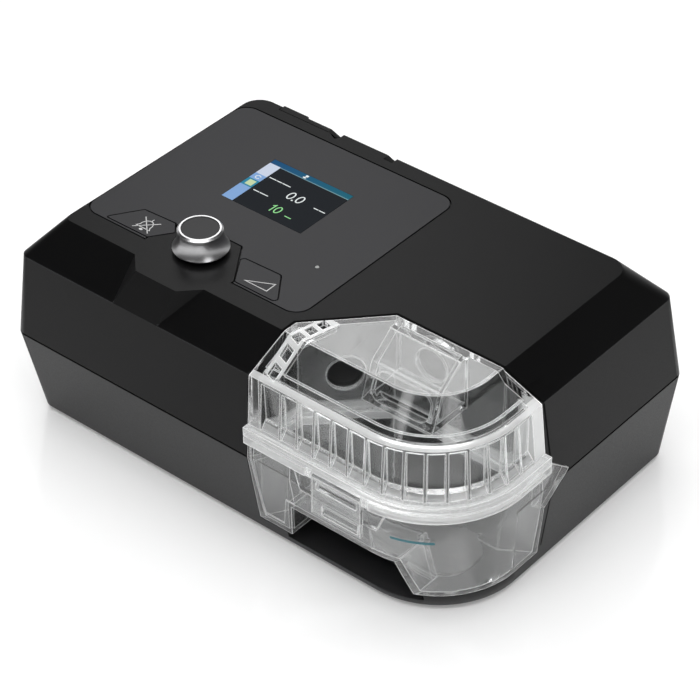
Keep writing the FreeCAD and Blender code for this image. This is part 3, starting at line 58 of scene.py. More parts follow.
def add_node(tree, kind, inputs=None, **settings):
    """Adds one shader node. Each input goes by its socket's name or number, and is a value, a
    socket to link, or a node whose first output is linked. A Mix node has its factor at 0, its
    numbers at 2 and 3, its colours at 6 and 7, and the mixed colour at output 2."""
    made = tree.nodes.new("ShaderNode" + kind)
    for name, value in settings.items():
        setattr(made, name, value)
    for name, value in (inputs or {}).items():
        if isinstance(value, bpy.types.Node):
            value = value.outputs[0]
        if isinstance(value, bpy.types.NodeSocket):
            tree.links.new(value, made.inputs[name])
        else:
            made.inputs[name].default_value = value
    return made


def blank_material(name):
    """A node material with only its output node. Returns the material, its tree and the socket
    that takes its shader."""
    material = bpy.data.materials.new(name)
    material.use_nodes = True
    material.node_tree.nodes.clear()
    output = add_node(material.node_tree, "OutputMaterial")
    return material, material.node_tree, output.inputs["Surface"]


def mesh_piece(name, points, faces, material):
    """Puts a finished mesh into the scene: its object sits at the origin, and its place is in
    its points."""
    mesh = bpy.data.meshes.new(name)
    mesh.from_pydata(np.asarray(points, float).tolist(), [], [list(f) for f in faces])
    mesh.update()
    piece = bpy.data.objects.new(name, mesh)
    bpy.context.scene.collection.objects.link(piece)
    piece.data.materials.append(material)
    return piece


# Cast acrylic: nearly even white, with reflections of the object that fade downwards.
table_white, tree, surface = blank_material("white_acrylic_sheet")
place = add_node(tree, "TexCoord").outputs["Object"]
cloudy = add_node(tree, "TexNoise", {"Vector": place, "Scale": TABLE_PATCHES})
tone = add_node(tree, "Mix", {0: cloudy, 6: linear("#f4f4f4"), 7: linear("#f8f8f8")},
                data_type="RGBA")
matte = add_node(tree, "BsdfDiffuse", {"Color": tone.outputs[2]})
sheen = add_node(tree, "BsdfGlossy", {"Color": linear("#ffffff"), "Roughness": 0.11})
lit = add_node(tree, "MixShader", {0: TABLE_GLOSS, 1: matte, 2: sheen})
ray = add_node(tree, "LightPath").outputs
seen = add_node(tree, "Math", {0: ray["Is Camera Ray"], 1: ray["Is Glossy Ray"]},
                operation="ADD")
seen = add_node(tree, "Math", {0: seen, 1: ray["Is Transmission Ray"]}, operation="ADD",
                use_clamp=True)
lift = add_node(tree, "Math", {0: seen, 1: TABLE_GLOW}, operation="MULTIPLY")
glow = add_node(tree, "Emission", {"Color": linear("#ffffff"), "Strength": lift})
total = add_node(tree, "AddShader", {0: lit, 1: glow})
tree.links.new(total.outputs[0], surface)

corners = [(-TABLE_HALF, -TABLE_HALF, 0), (TABLE_HALF, -TABLE_HALF, 0),
           (TABLE_HALF, TABLE_HALF, 0), (-TABLE_HALF, TABLE_HALF, 0)]
table = mesh_piece("table_top", corners, [(0, 1, 2, 3)], table_white)

# The room is pale at the horizon and dim from a fifth of the way up.
room = bpy.data.worlds.new("studio_room")
bpy.context.scene.world = room
room.use_nodes = True
tree = room.node_tree
tree.nodes.clear()
way = add_node(tree, "SeparateXYZ", {0: add_node(tree, "TexCoord").outputs["Generated"]})
ramp = add_node(tree, "ValToRGB", {0: way.outputs["Z"]})
horizon, upper_room = ramp.color_ramp.elements
horizon.position, horizon.color = 0.04, linear("#f2f2f2")
upper_room.position, upper_room.color = 0.2, linear("#2c2c2c")
sky = add_node(tree, "Background", {"Color": ramp, "Strength": 1.0})
add_node(tree, "OutputWorld", {"Surface": sky})


def soft_box(name, place, aim, size, radiance):
    """Square area lamp; its power is radiance times pi times its area."""
    lamp = bpy.data.lights.new(name, "AREA")
    lamp.shape = "SQUARE"
    lamp.size = size
    lamp.energy = radiance * math.pi * size * size
    holder = bpy.data.objects.new(name, lamp)
    holder.location = place
    holder.rotation_euler = (Vector(aim) - Vector(place)).to_track_quat("-Z", "Y").to_euler()
    holder.visible_camera = False
    bpy.context.scene.collection.objects.link(holder)


soft_box("overhead_box", (0.05, -0.1, 1.5), aim=(0, 0, 0), size=1.8, radiance=3.0)
soft_box("back_box", (-0.8, 1.0, 1.0), aim=(0, 0, 0.05), size=1.6, radiance=0.35)
soft_box("back_strip", (-0.75, 0.8, 1.05), aim=(0.07, -0.05, 0.1), size=0.45, radiance=2.6)
soft_box("front_box", (-0.1, -1.25, 1.45), aim=(0, 0, 0.1), size=0.5, radiance=2.4)
soft_box("right_box", (1.1, -0.5, 0.9), aim=(0.05, -0.05, 0.05), size=0.5, radiance=2.0)

# Camera: a long lens 1.3 m away, to the right of the object's front and 38 degrees above the
# table, about where someone who stands at the table has their eyes.

FRAME_PIXELS = 700
FOCAL_PIXELS = 2692.67
SENSOR_MM = 36.0
EYE_AT = (0.644775, -0.768918, 0.835678)
# Radians: to the left from straight ahead, downwards, and about the line of sight.
YAW, PITCH, ROLL = 0.699416, 0.66558, -0.0083677

eye = bpy.data.cameras.new("camera")
eye.sensor_width = SENSOR_MM
eye.lens = FOCAL_PIXELS / FRAME_PIXELS * SENSOR_MM
eye.clip_start = 0.05
eye.clip_end = 30.0
camera = bpy.data.objects.new("camera", eye)
bpy.context.scene.collection.objects.link(camera)
ahead = Vector((-math.sin(YAW) * math.cos(PITCH), math.cos(YAW) * math.cos(PITCH),
                -math.sin(PITCH)))
across = ahead.cross(Vector((0, 0, 1))).normalized()
above = across.cross(ahead)
right = math.cos(ROLL) * across + math.sin(ROLL) * above
top = -math.sin(ROLL) * across + math.cos(ROLL) * above
turn = Matrix((right, top, -ahead)).transposed().to_4x4()
camera.matrix_world = Matrix.Translation(EYE_AT) @ turn
bpy.context.scene.camera = camera
bpy.context.scene.view_settings.view_transform = "Standard"


# Case halves and filter cover: ABS, black above and charcoal below, injection moulded in
# spark-eroded tools. The halves meet at a seam half way up, and screws from below hold them.

# Heights in metres: the seam, the dock's floor and the fold below the sloped top.
SEAM_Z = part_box("base_case")[1].z
FLOOR_Z = 0.0125
FOLD_Z = 0.0955
# Half widths in metres of the painted shade in the seam's groove, of the band that holds the
# painted highlight at the fold, and of the painted shade line along the dock's lip, with the
# distance of that line's middle from the dock's outline.
GROOVE_HALF = 0.00055
FOLD_HALF = 0.0011
LIP_HALF = 0.000495
LIP_MIDDLE = 0.00055
# The dock's walls in plan: the direction out of the dock, and the shift that makes a place's
# distance along it 0 at the wall. The back wall bends at its right end, where DOCK_END goes on.
DOCK_LEFT = (-1.0, 0.0, 0.0), 0.021150
DOCK_SLANTED = (-0.7225, 0.6914, 0.0), 0.060244
DOCK_BACK = (0.0, 1.0, 0.0), 0.032378
DOCK_END = (-0.5354, 0.8447, 0.0), 0.087581
# How far around a point an edge is looked for, in metres, and the products of the two normals
# between which the mask of sharp_edges goes from 0 to 1.
EDGE_REACH = 0.0009
EDGE_NONE, EDGE_FULL = 0.995, 0.93


def sharp_edges(tree):
    """0 to 1 mask of the edges: the dot product of the surface's normal with one rounded over
    EDGE_REACH is EDGE_NONE or more on the flat, and EDGE_FULL or less at an edge."""
    flat = add_node(tree, "NewGeometry").outputs["Normal"]
    rounded = add_node(tree, "Bevel", {"Radius": EDGE_REACH, "Normal": flat}, samples=4)
    turned = add_node(tree, "VectorMath", {0: flat, 1: rounded}, operation="DOT_PRODUCT")
    return add_node(tree, "MapRange", {"Value": turned.outputs["Value"], "From Min": EDGE_NONE,
                                       "From Max": EDGE_FULL})


def dock_distance(tree, place):
    """Metres from the dock's plan outline, more than 0 on the case's side: the largest of the
    distances from the left, the slanted and the back wall. The back wall's is the smaller of
    those from DOCK_BACK and DOCK_END."""
    def beyond(direction, shift):
        along = add_node(tree, "VectorMath", {0: place, 1: direction}, operation="DOT_PRODUCT")
        return add_node(tree, "Math", {0: along.outputs["Value"], 1: shift}, operation="ADD")

    back = add_node(tree, "Math", {0: beyond(*DOCK_BACK), 1: beyond(*DOCK_END)},
                    operation="MINIMUM")
    side = add_node(tree, "Math", {0: beyond(*DOCK_LEFT), 1: beyond(*DOCK_SLANTED)},
                    operation="MAXIMUM")
    return add_node(tree, "Math", {0: back, 1: side}, operation="MAXIMUM")


def case_painted_shade_and_highlight(tree, place, colour, polish):
    """Painted shade: the groove of the seam and a line along the dock's lip are made black and
    dull. Painted highlight: the colour is made paler along the fold's sharp edge. Returns the
    colour and the roughness."""
    height = add_node(tree, "SeparateXYZ", {0: place}).outputs["Z"]
    # Painted shade: the seam's groove and a line along the dock's lip turn black and fully rough.
    groove = add_node(tree, "Math", {0: height, 1: SEAM_Z, 2: GROOVE_HALF}, operation="COMPARE")
    lip = add_node(tree, "Math", {0: dock_distance(tree, place), 1: LIP_MIDDLE, 2: LIP_HALF},
                   operation="COMPARE")
    wall = add_node(tree, "Math", {0: height, 1: FLOOR_Z}, operation="GREATER_THAN")
    lip = add_node(tree, "Math", {0: lip, 1: wall}, operation="MULTIPLY")
    shadow = add_node(tree, "Math", {0: groove, 1: lip}, operation="MAXIMUM")
    dull = add_node(tree, "Mix", {0: shadow, 2: polish, 3: 1.0}, data_type="FLOAT")
    shaded = add_node(tree, "Mix", {0: shadow, 6: colour, 7: linear("#000000")},
                      data_type="RGBA")
    # Painted highlight: along the fold's sharp edge the colour is made paler, #38383a.
    fold = add_node(tree, "Math", {0: height, 1: FOLD_Z, 2: FOLD_HALF}, operation="COMPARE")
    fold = add_node(tree, "Math", {0: fold, 1: sharp_edges(tree)}, operation="MULTIPLY")
    fold_painted_highlight = add_node(tree, "Mix", {0: fold, 6: shaded.outputs[2], 7: linear("#38383a")},
                      data_type="RGBA")
    return fold_painted_highlight.outputs[2], dull


# Patches of tone to the metre, how far roughness strays both ways, and the range that noise
# seldom leaves.
TONE_PATCHES = 14.0
ROUGH_SPREAD = 0.05
NOISE_LOW, NOISE_HIGH = 0.3, 0.7


def satin_moulding(name, dark, light, rough, grain_mm, depth_mm, specular=0.5, marks_and_painted_light=None):
    """Moulded plastic, or ink on it: tone drifts between two close colours, and fine grain shows
    as bump and roughness. The optional last argument paints shade and highlight into the colour,
    and may change roughness, by place."""
    material, tree, surface = blank_material(name)
    place = add_node(tree, "TexCoord").outputs["Object"]
    cloud = add_node(tree, "TexNoise", {"Vector": place, "Scale": TONE_PATCHES, "Detail": 3.0})
    tone = add_node(tree, "Mix", {0: cloud, 6: linear(dark), 7: linear(light)},
                    data_type="RGBA")
    grain = add_node(tree, "TexNoise", {"Vector": place, "Scale": 1000.0 / grain_mm,
                                        "Detail": 2.0})
    polish = add_node(tree, "MapRange", {"Value": grain, "From Min": NOISE_LOW,
                                         "From Max": NOISE_HIGH,
                                         "To Min": rough - ROUGH_SPREAD,
                                         "To Max": rough + ROUGH_SPREAD})
    bump = add_node(tree, "Bump", {"Height": grain, "Strength": 0.25,
                                   "Distance": depth_mm / 1000})
    colour = tone.outputs[2]
    if marks_and_painted_light:
        colour, polish = marks_and_painted_light(tree, place, colour, polish)
    shader = add_node(tree, "BsdfPrincipled", {"Base Color": colour, "Roughness": polish,
                                               "Normal": bump, "Specular IOR Level": specular})
    tree.links.new(shader.outputs[0], surface)
    return material


def dress(material, *names):
    """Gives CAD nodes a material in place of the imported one."""
    for name in names:
        nodes[name].data.materials.clear()
        nodes[name].data.materials.append(material)


def soften(radius_mm, *names):
    """Rounds a CAD node's edges that turn by more than 25 degrees, with live modifiers; its
    mesh itself isn't touched."""
    for name in names:
        weld = nodes[name].modifiers.new("weld", "WELD")
        weld.merge_threshold = 0.000002
        bevel = nodes[name].modifiers.new("edge_radius", "BEVEL")
        bevel.width = radius_mm / 1000
        bevel.segments = 2
        bevel.limit_method = "ANGLE"
        bevel.angle_limit = math.radians(25)
        bevel.harden_normals = True


# Spark-eroded grain gives an even satin that scatters reflections and hides small marks. The
# real grain is about 0.15 mm, too fine to show, so it is drawn at 0.7 mm.
# Both halves carry painted shade in the seam's groove and along the dock's lip, and a painted
# highlight along the fold.
black_abs = satin_moulding("black_abs_spark_eroded", "#080808", "#0c0c0d", rough=0.37,
                           grain_mm=0.7, depth_mm=0.05, specular=0.13, marks_and_painted_light=case_painted_shade_and_highlight)
dress(black_abs, "top_case", "filter_cover")
grey_abs = satin_moulding("charcoal_abs_spark_eroded", "#212122", "#272728", rough=0.42,
                          grain_mm=0.7, depth_mm=0.05, specular=0.28, marks_and_painted_light=case_painted_shade_and_highlight)
dress(grey_abs, "base_case")
soften(0.5, "top_case", "base_case")

# Control panel and the two push buttons: a dark grey hard-coated polycarbonate film over
# an ABS plate, a shade lighter and smoother than the case.

panel_film = satin_moulding("grey_hard_coated_film", "#28282a", "#2c2c2e", rough=0.36,
                            grain_mm=0.5, depth_mm=0.02, specular=0.16)
dress(panel_film, "control_panel", "mute_button", "ramp_button")
soften(0.3, "control_panel", "mute_button", "ramp_button")

# Display: a hard-coated window over a lit colour display. What is lit is drawn in thin shapes
# on the window, with plain bars in place of words.

window_low, window_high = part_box("display_window")
# Smears to the metre, and the little that an anti-glare coat lets the window reflect.
SMEARS = 60.0
ANTI_GLARE = 0.015

# Coated glass-clear plastic: nearly black, with roughness that changes where it was wiped.
dark_glass, tree, surface = blank_material("display_glass")
place = add_node(tree, "TexCoord").outputs["Object"]
smears = add_node(tree, "TexNoise", {"Vector": place, "Scale": SMEARS, "Detail": 3.0})
wipe = add_node(tree, "MapRange", {"Value": smears, "To Min": 0.1, "To Max": 0.18})
hue = add_node(tree, "Mix", {0: smears, 6: linear("#13161a"), 7: linear("#171b20")},
               data_type="RGBA")
shader = add_node(tree, "BsdfPrincipled", {"Base Color": hue.outputs[2], "Roughness": wipe,
                                           "IOR": 1.49, "Specular IOR Level": ANTI_GLARE})
tree.links.new(shader.outputs[0], surface)
dress(dark_glass, "display_window")

# Real rows of pixels are 0.15 mm apart. They are drawn 0.5 mm apart, which is this wave scale.
PIXEL_ROWS = 630.0


def lit_pixels(name, hex_left, hex_right=None):
    """Backlit pixels: the colour runs from one tone at the window's left edge to another at
    its right edge, and is a little darker between rows."""
    material, tree, surface = blank_material(name)
    place = add_node(tree, "TexCoord").outputs["Object"]
    share = add_node(tree, "MapRange", {"Value": add_node(tree, "SeparateXYZ", {0: place}),
                                        "From Min": window_low.x, "From Max": window_high.x})
    tone = add_node(tree, "Mix", {0: share, 6: linear(hex_left),
                                  7: linear(hex_right or hex_left)}, data_type="RGBA")
    rows = add_node(tree, "TexWave", {"Vector": place, "Scale": PIXEL_ROWS}, bands_direction="Y")
    shade = add_node(tree, "MapRange", {"Value": rows.outputs["Fac"], "To Min": 0.88,
                                        "To Max": 1.0})
    dim = add_node(tree, "Mix", {0: 1.0, 6: tone.outputs[2], 7: shade}, data_type="RGBA",
                   blend_type="MULTIPLY")
    shader = add_node(tree, "BsdfPrincipled", {"Base Color": linear("#050505"), "Roughness": 0.2,
                                               "Emission Color": dim.outputs[2],
                                               "Emission Strength": 1.0,
                                               "Specular IOR Level": ANTI_GLARE})
    tree.links.new(shader.outputs[0], surface)
    return material


# Metres: how far a print or lit shape lies above its face, how far one lies above another
# that it crosses, and its thickness.
PRINT_UP = 0.00004
LAYER = 0.00004
PRINT_THICK = 0.00008


def on_window(u, v):
    """u runs 0 to 1 from left to right over the window, v from its back to its front edge."""
    x = window_low.x + (window_high.x - window_low.x) * np.asarray(u, float)
    y = window_high.y - (window_high.y - window_low.y) * np.asarray(v, float)
    return np.stack([x, y, np.full_like(x, window_high.z + PRINT_UP)], -1)


def print_piece(name, points, faces, material, body):
    """A flat printed or lit shape just above its face, with its thickness down into it."""
    piece = mesh_piece(name, points, faces, material)
    ink = piece.modifiers.new("ink", "SOLIDIFY")
    ink.thickness = PRINT_THICK
    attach(piece, body)
    return piece


def lit_box(name, u0, u1, v0, v1, material, up=0.0):
    """Rectangle on the window between two shares of its width and two of its depth."""
    points = on_window([u0, u0, u1, u1], [v0, v1, v1, v0])
    points[:, 2] += up
    return print_piece(name, points, [(0, 1, 2, 3)], material, "case")


bar_blue = lit_pixels("lit_pixels_blue", "#1a4f7c", "#1a6478")
side_blue = lit_pixels("lit_pixels_light_blue", "#86abdb")
cell_white = lit_pixels("lit_pixels_pale", "#cfd8ea")
cell_teal = lit_pixels("lit_pixels_teal", "#2f87a6")
leaf_green = lit_pixels("lit_pixels_yellow_green", "#c9dcae")
text_white = lit_pixels("lit_pixels_white", "#eef4f4")
text_green = lit_pixels("lit_pixels_green", "#9be79b")
line_pale = lit_pixels("lit_pixels_line", "#6f93a6", "#7fa8ac")

# Shares of the window: the depth of the bar along its back and the width of the left column.
BAR_DEEP = 0.092
SIDE_WIDE = 0.137

lit_box("screen_top_bar", 0.0, 1.0, 0.0, BAR_DEEP, bar_blue)
lit_box("screen_bar_line", SIDE_WIDE, 1.0, BAR_DEEP, 0.104, line_pale)
lit_box("screen_bar_icon", 0.42, 0.452, 0.012, 0.048, text_white, LAYER)
lit_box("screen_bar_icon_foot", 0.41, 0.445, 0.058, 0.084, text_white, LAYER)
lit_box("screen_cell_one", 0.0, SIDE_WIDE, BAR_DEEP, 0.36, cell_white)
lit_box("screen_cell_two", 0.0, SIDE_WIDE, 0.36, 0.49, side_blue)
lit_box("screen_cell_three", 0.0, SIDE_WIDE, 0.49, 0.655, cell_teal)
lit_box("screen_cell_green", 0.035, 0.115, 0.515, 0.63, leaf_green, LAYER)
lit_box("screen_side_bar", 0.0, SIDE_WIDE, 0.655, 1.0, side_blue)

# Least cosine that a ribbon's corner is stretched by, so that a sharp one stays short.
CORNER_LEAST = 0.3


def stroke(points, width, closed=False):
    """Ribbon along a line: each point moves half the width both ways along the mean of its
    two edges' normals, over the cosine of half the turn, so that corners stay full width."""
    p = np.asarray(points, float)
    before = p - np.roll(p, 1, 0)
    after = np.roll(p, -1, 0) - p
    if not closed:
        before[0] = after[0]
        after[-1] = before[-1]
    before /= np.linalg.norm(before, axis=1)[:, None]
    after /= np.linalg.norm(after, axis=1)[:, None]
    mean = before + after
    mean /= np.linalg.norm(mean, axis=1)[:, None]
    side = np.stack([-mean[:, 1], mean[:, 0]], -1)
    half = width / 2 / np.maximum((mean * after).sum(1), CORNER_LEAST)
    left, right = p + side * half[:, None], p - side * half[:, None]
    count = len(p)
    ring = np.arange(count if closed else count - 1)
    nxt = (ring + 1) % count
    return np.concatenate([left, right]), np.stack([ring, ring + count, nxt + count, nxt], -1)


def arc(cx, cy, rx, ry, start, end, steps):
    """Points (cx + rx cos a, cy + ry sin a) for angles a from start to end degrees."""
    a = np.radians(np.linspace(start, end, steps))
    return np.stack([cx + rx * np.cos(a), cy + ry * np.sin(a)], -1)


def joined(*shapes):
    """Several (points, faces) shapes as one."""
    points, faces, at = [], [], 0
    for p, f in shapes:
        points.append(p)
        faces.extend((np.asarray(f) + at).tolist())
        at += len(p)
    return np.concatenate(points), faces


def numeral(digits, height, lean=0.06, weight=0.1):
    """Numerals as ribbons: 0 is an oval ring, 1 a bent line and the point a short one, each
    drawn one unit high, then scaled to a height in metres and leant to the right."""
    shapes, x = [], 0.0
    for mark in digits:
        if mark == "0":
            shapes.append(stroke(arc(x + 0.3, 0.5, 0.235, 0.435, 0, 345, 24), weight, True))
            x += 0.72
        elif mark == "1":
            shapes.append(stroke([(x + 0.02, 0.74), (x + 0.24, 0.93), (x + 0.24, 0.0)], weight))
            x += 0.46
        else:
            shapes.append(stroke([(x + 0.02, 0.0), (x + 0.02, 0.14)], 0.14))
            x += 0.16
    points, faces = joined(*shapes)
    points = points * height
    points[:, 0] += lean * points[:, 1]
    return points, faces


def place_on_window(name, shape, u, v, material):
    """Centres a flat shape at a share of the window's width and depth."""
    points, faces = shape
    middle = (points.max(0) + points.min(0)) / 2
    at = on_window(u, v)
    flat = np.stack([at[0] + points[:, 0] - middle[0], at[1] + points[:, 1] - middle[1],
                     np.full(len(points), at[2])], -1)
    return print_piece(name, flat, faces, material, "case")


# Metres: the height of a bar that stands for a word, and the gap to the next one in its row.
WORD_HIGH = 0.00055
WORD_GAP = 0.0004


def word_bar(name, u, v, lengths, material):
    """A row of short bars in place of words, each a straight ribbon."""
    shapes, x = [], 0.0
    for length in lengths:
        shapes.append(stroke([(x, 0.0), (x + length, 0.0)], WORD_HIGH))
        x += length + WORD_GAP
    return place_on_window(name, joined(*shapes), u, v, material)


ring_icon = stroke(arc(0, 0, 0.0013, 0.0013, 20, 330, 20), 0.0006)
place_on_window("screen_reading", numeral("0.0", 0.0062), 0.587, 0.474, text_white)
place_on_window("screen_minutes", numeral("10", 0.0058), 0.56, 0.804, text_green)
word_bar("screen_bars_one", 0.295, 0.338, (0.0042, 0.0030, 0.0050), text_white)
word_bar("screen_bars_two", 0.267, 0.662, (0.0036, 0.0050), text_white)
word_bar("screen_bars_unit", 0.9, 0.498, (0.0028, 0.0036), text_white)
word_bar("screen_bars_time", 0.737, 0.848, (0.0038,), text_green)
place_on_window("screen_ring_icon", ring_icon, 0.07, 0.425, text_white)

# Pictograms on the push buttons: pad-printed in white ink about 0.02 mm thick, a crossed bell
# for mute and a wedge for ramp. Sizes are in metres from each pictogram's middle.

# Dried ink: a dull, slightly uneven white.
white_ink = satin_moulding("white_printing_ink", "#b9b9b9", "#c8c8c8", rough=0.5,
                           grain_mm=0.3, depth_mm=0.01)
LINE = 0.00045


def button_print(name, shape, node, dx, dy, body):
    """Puts a flat shape on a button's face, moved from the face's middle."""
    low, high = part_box(node)
    points, faces = shape
    at = (low + high) / 2
    flat = np.stack([at.x + dx + points[:, 0], at.y + dy + points[:, 1],
                     np.full(len(points), high.z + PRINT_UP)], -1)
    return print_piece(name, flat, faces, white_ink, body)


bell_side = np.array([(-0.0041, -0.0026), (-0.0031, -0.0012), (-0.0030, 0.0006),
                      (-0.0022, 0.0024), (-0.0008, 0.0033)])
bell = np.concatenate([bell_side, bell_side[::-1] * (-1, 1)])
clapper = arc(0, -0.0040, 0.0010, 0.0007, 0, 330, 12)
crossed_bell = joined(stroke(bell, LINE, True), (clapper, [list(range(len(clapper)))]),
                      stroke([(-0.0048, -0.0047), (0.0048, 0.0047)], LINE),
                      stroke([(-0.0048, 0.0047), (0.0048, -0.0047)], LINE),
                      stroke([(0.0, 0.0033), (0.0, 0.0052)], LINE))
button_print("mute_pictogram", crossed_bell, "mute_button", 0.0024, -0.0014, "mute")
wedge = stroke([(-0.0066, -0.0029), (0.0062, -0.0029), (0.0061, 0.0034)], LINE, True)
button_print("ramp_pictogram", wedge, "ramp_button", 0.0023, -0.0019, "ramp")

# Knob: a turned aluminium skirt with a bright chamfered rim, pushed on to the encoder's shaft,
# with a dark painted disc let into its top.

# Tool marks are 0.05 mm apart on the real knob and are drawn 0.36 mm apart, 2800 to the metre.
TOOL_MARKS = 2800.0

# Turned aluminium: fine rings round its axis, which draw the highlights out sideways.
turned_alu, tree, surface = blank_material("satin_turned_aluminium")
knob_low, knob_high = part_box("knob_ring")
knob_mid = (knob_low + knob_high) / 2
place = add_node(tree, "Mapping", {"Vector": add_node(tree, "TexCoord").outputs["Object"],
                                   "Location": (-knob_mid.x, -knob_mid.y, 0)})
x, y, z = add_node(tree, "SeparateXYZ", {0: place}).outputs
flat = add_node(tree, "CombineXYZ", {"X": x, "Y": y})
radius = add_node(tree, "VectorMath", {0: flat}, operation="LENGTH").outputs["Value"]
rings = add_node(tree, "CombineXYZ", {"X": radius, "Z": z})
marks_and_painted_light = add_node(tree, "TexNoise", {"Vector": rings, "Scale": TOOL_MARKS, "Detail": 1.0})
polish = add_node(tree, "MapRange", {"Value": marks_and_painted_light, "To Min": 0.24, "To Max": 0.36})
tone = add_node(tree, "Mix", {0: marks_and_painted_light, 6: linear("#c4c4c5"), 7: linear("#dededf")},
                data_type="RGBA")
bump = add_node(tree, "Bump", {"Height": marks_and_painted_light, "Strength": 0.1, "Distance": 0.00002})
shader = add_node(tree, "BsdfPrincipled", {"Base Color": tone.outputs[2], "Metallic": 1.0,
                                           "Roughness": polish, "Normal": bump})
tree.links.new(shader.outputs[0], surface)
dress(turned_alu, "knob_ring")

# Sprayed paint: dark, even and a little smoother than the case.
disc_grey = satin_moulding("grey_painted_disc", "#29292a", "#2e2e2f", rough=0.4, grain_mm=0.4,
                           depth_mm=0.02, specular=0.2)
dress(disc_grey, "knob_cap")

# Water chamber: tub, lid and latch, injection moulded in clear polycarbonate, hard and slightly
# hazy where hot water has dulled them. The tool is textured round the rim and the flange, on the
# rail above the ribs and round the pockets, so those look white. The lid's end and all sharp
# edges are made white too, as a painted highlight, and all these places get a painted glow.

# Roughness and clearness of textured plastic and of the painted highlights. The strength of a
# painted glow is added there, standing in for light led along inside the clear wall and out where
# it is textured or ends.
FROST_AND_HIGHLIGHT_ROUGH = 0.3
FROST_AND_HIGHLIGHT_CLEAR = 0.42
PAINTED_GLOW = 0.17


def clear_moulding(name, tint, rough_low, rough_high, haze_mm, clear, frost_and_painted_highlight=None):
    """Clear plastic whose roughness clouds in patches. The optional mask is 0 to 1 over the
    textured parts, which scatter light and look white, and over painted highlights that make
    edges white the same way; it also sets a painted glow."""
    material, tree, surface = blank_material(name)
    place = add_node(tree, "TexCoord").outputs["Object"]
    patches = add_node(tree, "TexNoise", {"Vector": place, "Scale": 1000.0 / haze_mm,
                                          "Detail": 3.0})
    tone = add_node(tree, "Mix", {0: patches, 6: linear("#ffffff"), 7: linear(tint)},
                    data_type="RGBA")
    polish = add_node(tree, "MapRange", {"Value": patches, "From Min": NOISE_LOW,
                                         "From Max": NOISE_HIGH, "To Min": rough_low,
                                         "To Max": rough_high})
    looks = {"Base Color": tone.outputs[2], "IOR": 1.585, "Roughness": polish,
             "Transmission Weight": clear}
    if frost_and_painted_highlight:
        mask = frost_and_painted_highlight(tree, place)
        looks["Roughness"] = add_node(tree, "Mix", {0: mask, 2: polish, 3: FROST_AND_HIGHLIGHT_ROUGH},
                                      data_type="FLOAT")
        looks["Transmission Weight"] = add_node(tree, "Mix", {0: mask, 2: clear, 3: FROST_AND_HIGHLIGHT_CLEAR},
                                                data_type="FLOAT")
        # Painted glow: white emission over the whole mask, textured parts and painted highlights
        # alike.
        looks["Emission Color"] = linear("#ffffff")
        looks["Emission Strength"] = add_node(tree, "Math", {0: mask, 1: PAINTED_GLOW},
                                              operation="MULTIPLY")
    shader = add_node(tree, "BsdfPrincipled", looks)
    tree.links.new(shader.outputs[0], surface)
    return material


# In metres: the axis of the rounded front corner, the direction across the row of pockets, and
# the roof, which slopes up towards the back to a flat top.
CORNER_X, CORNER_Y = 0.0822, -0.0444
POCKETS_ACROSS = (0.973, -0.229, 0.0)
ROOF_SLOPE, ROOF_AT_ZERO, ROOF_TOP = 1.084, 0.1924, 0.1135


def textured_and_highlit_zones(tree, place):
    """1 along sharp edges, as a painted highlight, and in each zone its share. The lid's end zone
    is a painted highlight too; the others are textured. A zone is its share times tests |value -
    middle| < half. The values are X, Y and Z; reach, the distance |(x - CORNER_X, CORNER_Y - y)|
    with negative parts taken as 0, which is 45 mm at the lid's outer face; across, the distance
    along POCKETS_ACROSS; and rise, the height above the roof, which is at the smaller of
    ROOF_AT_ZERO + ROOF_SLOPE y and ROOF_TOP."""
    x, y, z = add_node(tree, "SeparateXYZ", {0: place}).outputs
    corner = add_node(tree, "VectorMath", {0: place, 1: (1.0, -1.0, 0.0),
                                           2: (-CORNER_X, CORNER_Y, 0.0)},
                      operation="MULTIPLY_ADD")
    corner = add_node(tree, "VectorMath", {0: corner, 1: (0.0, 0.0, 0.0)}, operation="MAXIMUM")
    reach = add_node(tree, "VectorMath", {0: corner}, operation="LENGTH").outputs["Value"]
    across = add_node(tree, "VectorMath", {0: place, 1: POCKETS_ACROSS},
                      operation="DOT_PRODUCT").outputs["Value"]
    roof = add_node(tree, "Math", {0: y, 1: ROOF_SLOPE, 2: ROOF_AT_ZERO},
                    operation="MULTIPLY_ADD")
    roof = add_node(tree, "Math", {0: roof, 1: ROOF_TOP}, operation="MINIMUM")
    rise = add_node(tree, "Math", {0: z, 1: roof}, operation="SUBTRACT")
    rim_and_flange = [(z, 0.0641, 0.0048)]
    rail = [(z, 0.0969, 0.0016), (reach, 0.0450, 0.0022)]
    pockets = [(across, 0.0448, 0.0042), (y, -0.0700, 0.0165), (rise, 0.0, 0.0008)]
    # Painted highlight: the lid's right end is made white where light catches it.
    lid_end_highlight = [(x, 0.1240, 0.0060), (y, -0.0260, 0.0060), (z, 0.0840, 0.0150)]
    total = 0.0
    for zone, tests in ((0.45, rim_and_flange), (0.75, rail), (0.75, pockets), (0.7, lid_end_highlight)):
        for value, middle, half in tests:
            inside = add_node(tree, "Math", {0: value, 1: middle, 2: half}, operation="COMPARE")
            zone = add_node(tree, "Math", {0: zone, 1: inside}, operation="MULTIPLY")
        total = add_node(tree, "Math", {0: total, 1: zone}, operation="MAXIMUM")
    return add_node(tree, "Math", {0: total, 1: sharp_edges(tree)}, operation="MAXIMUM")


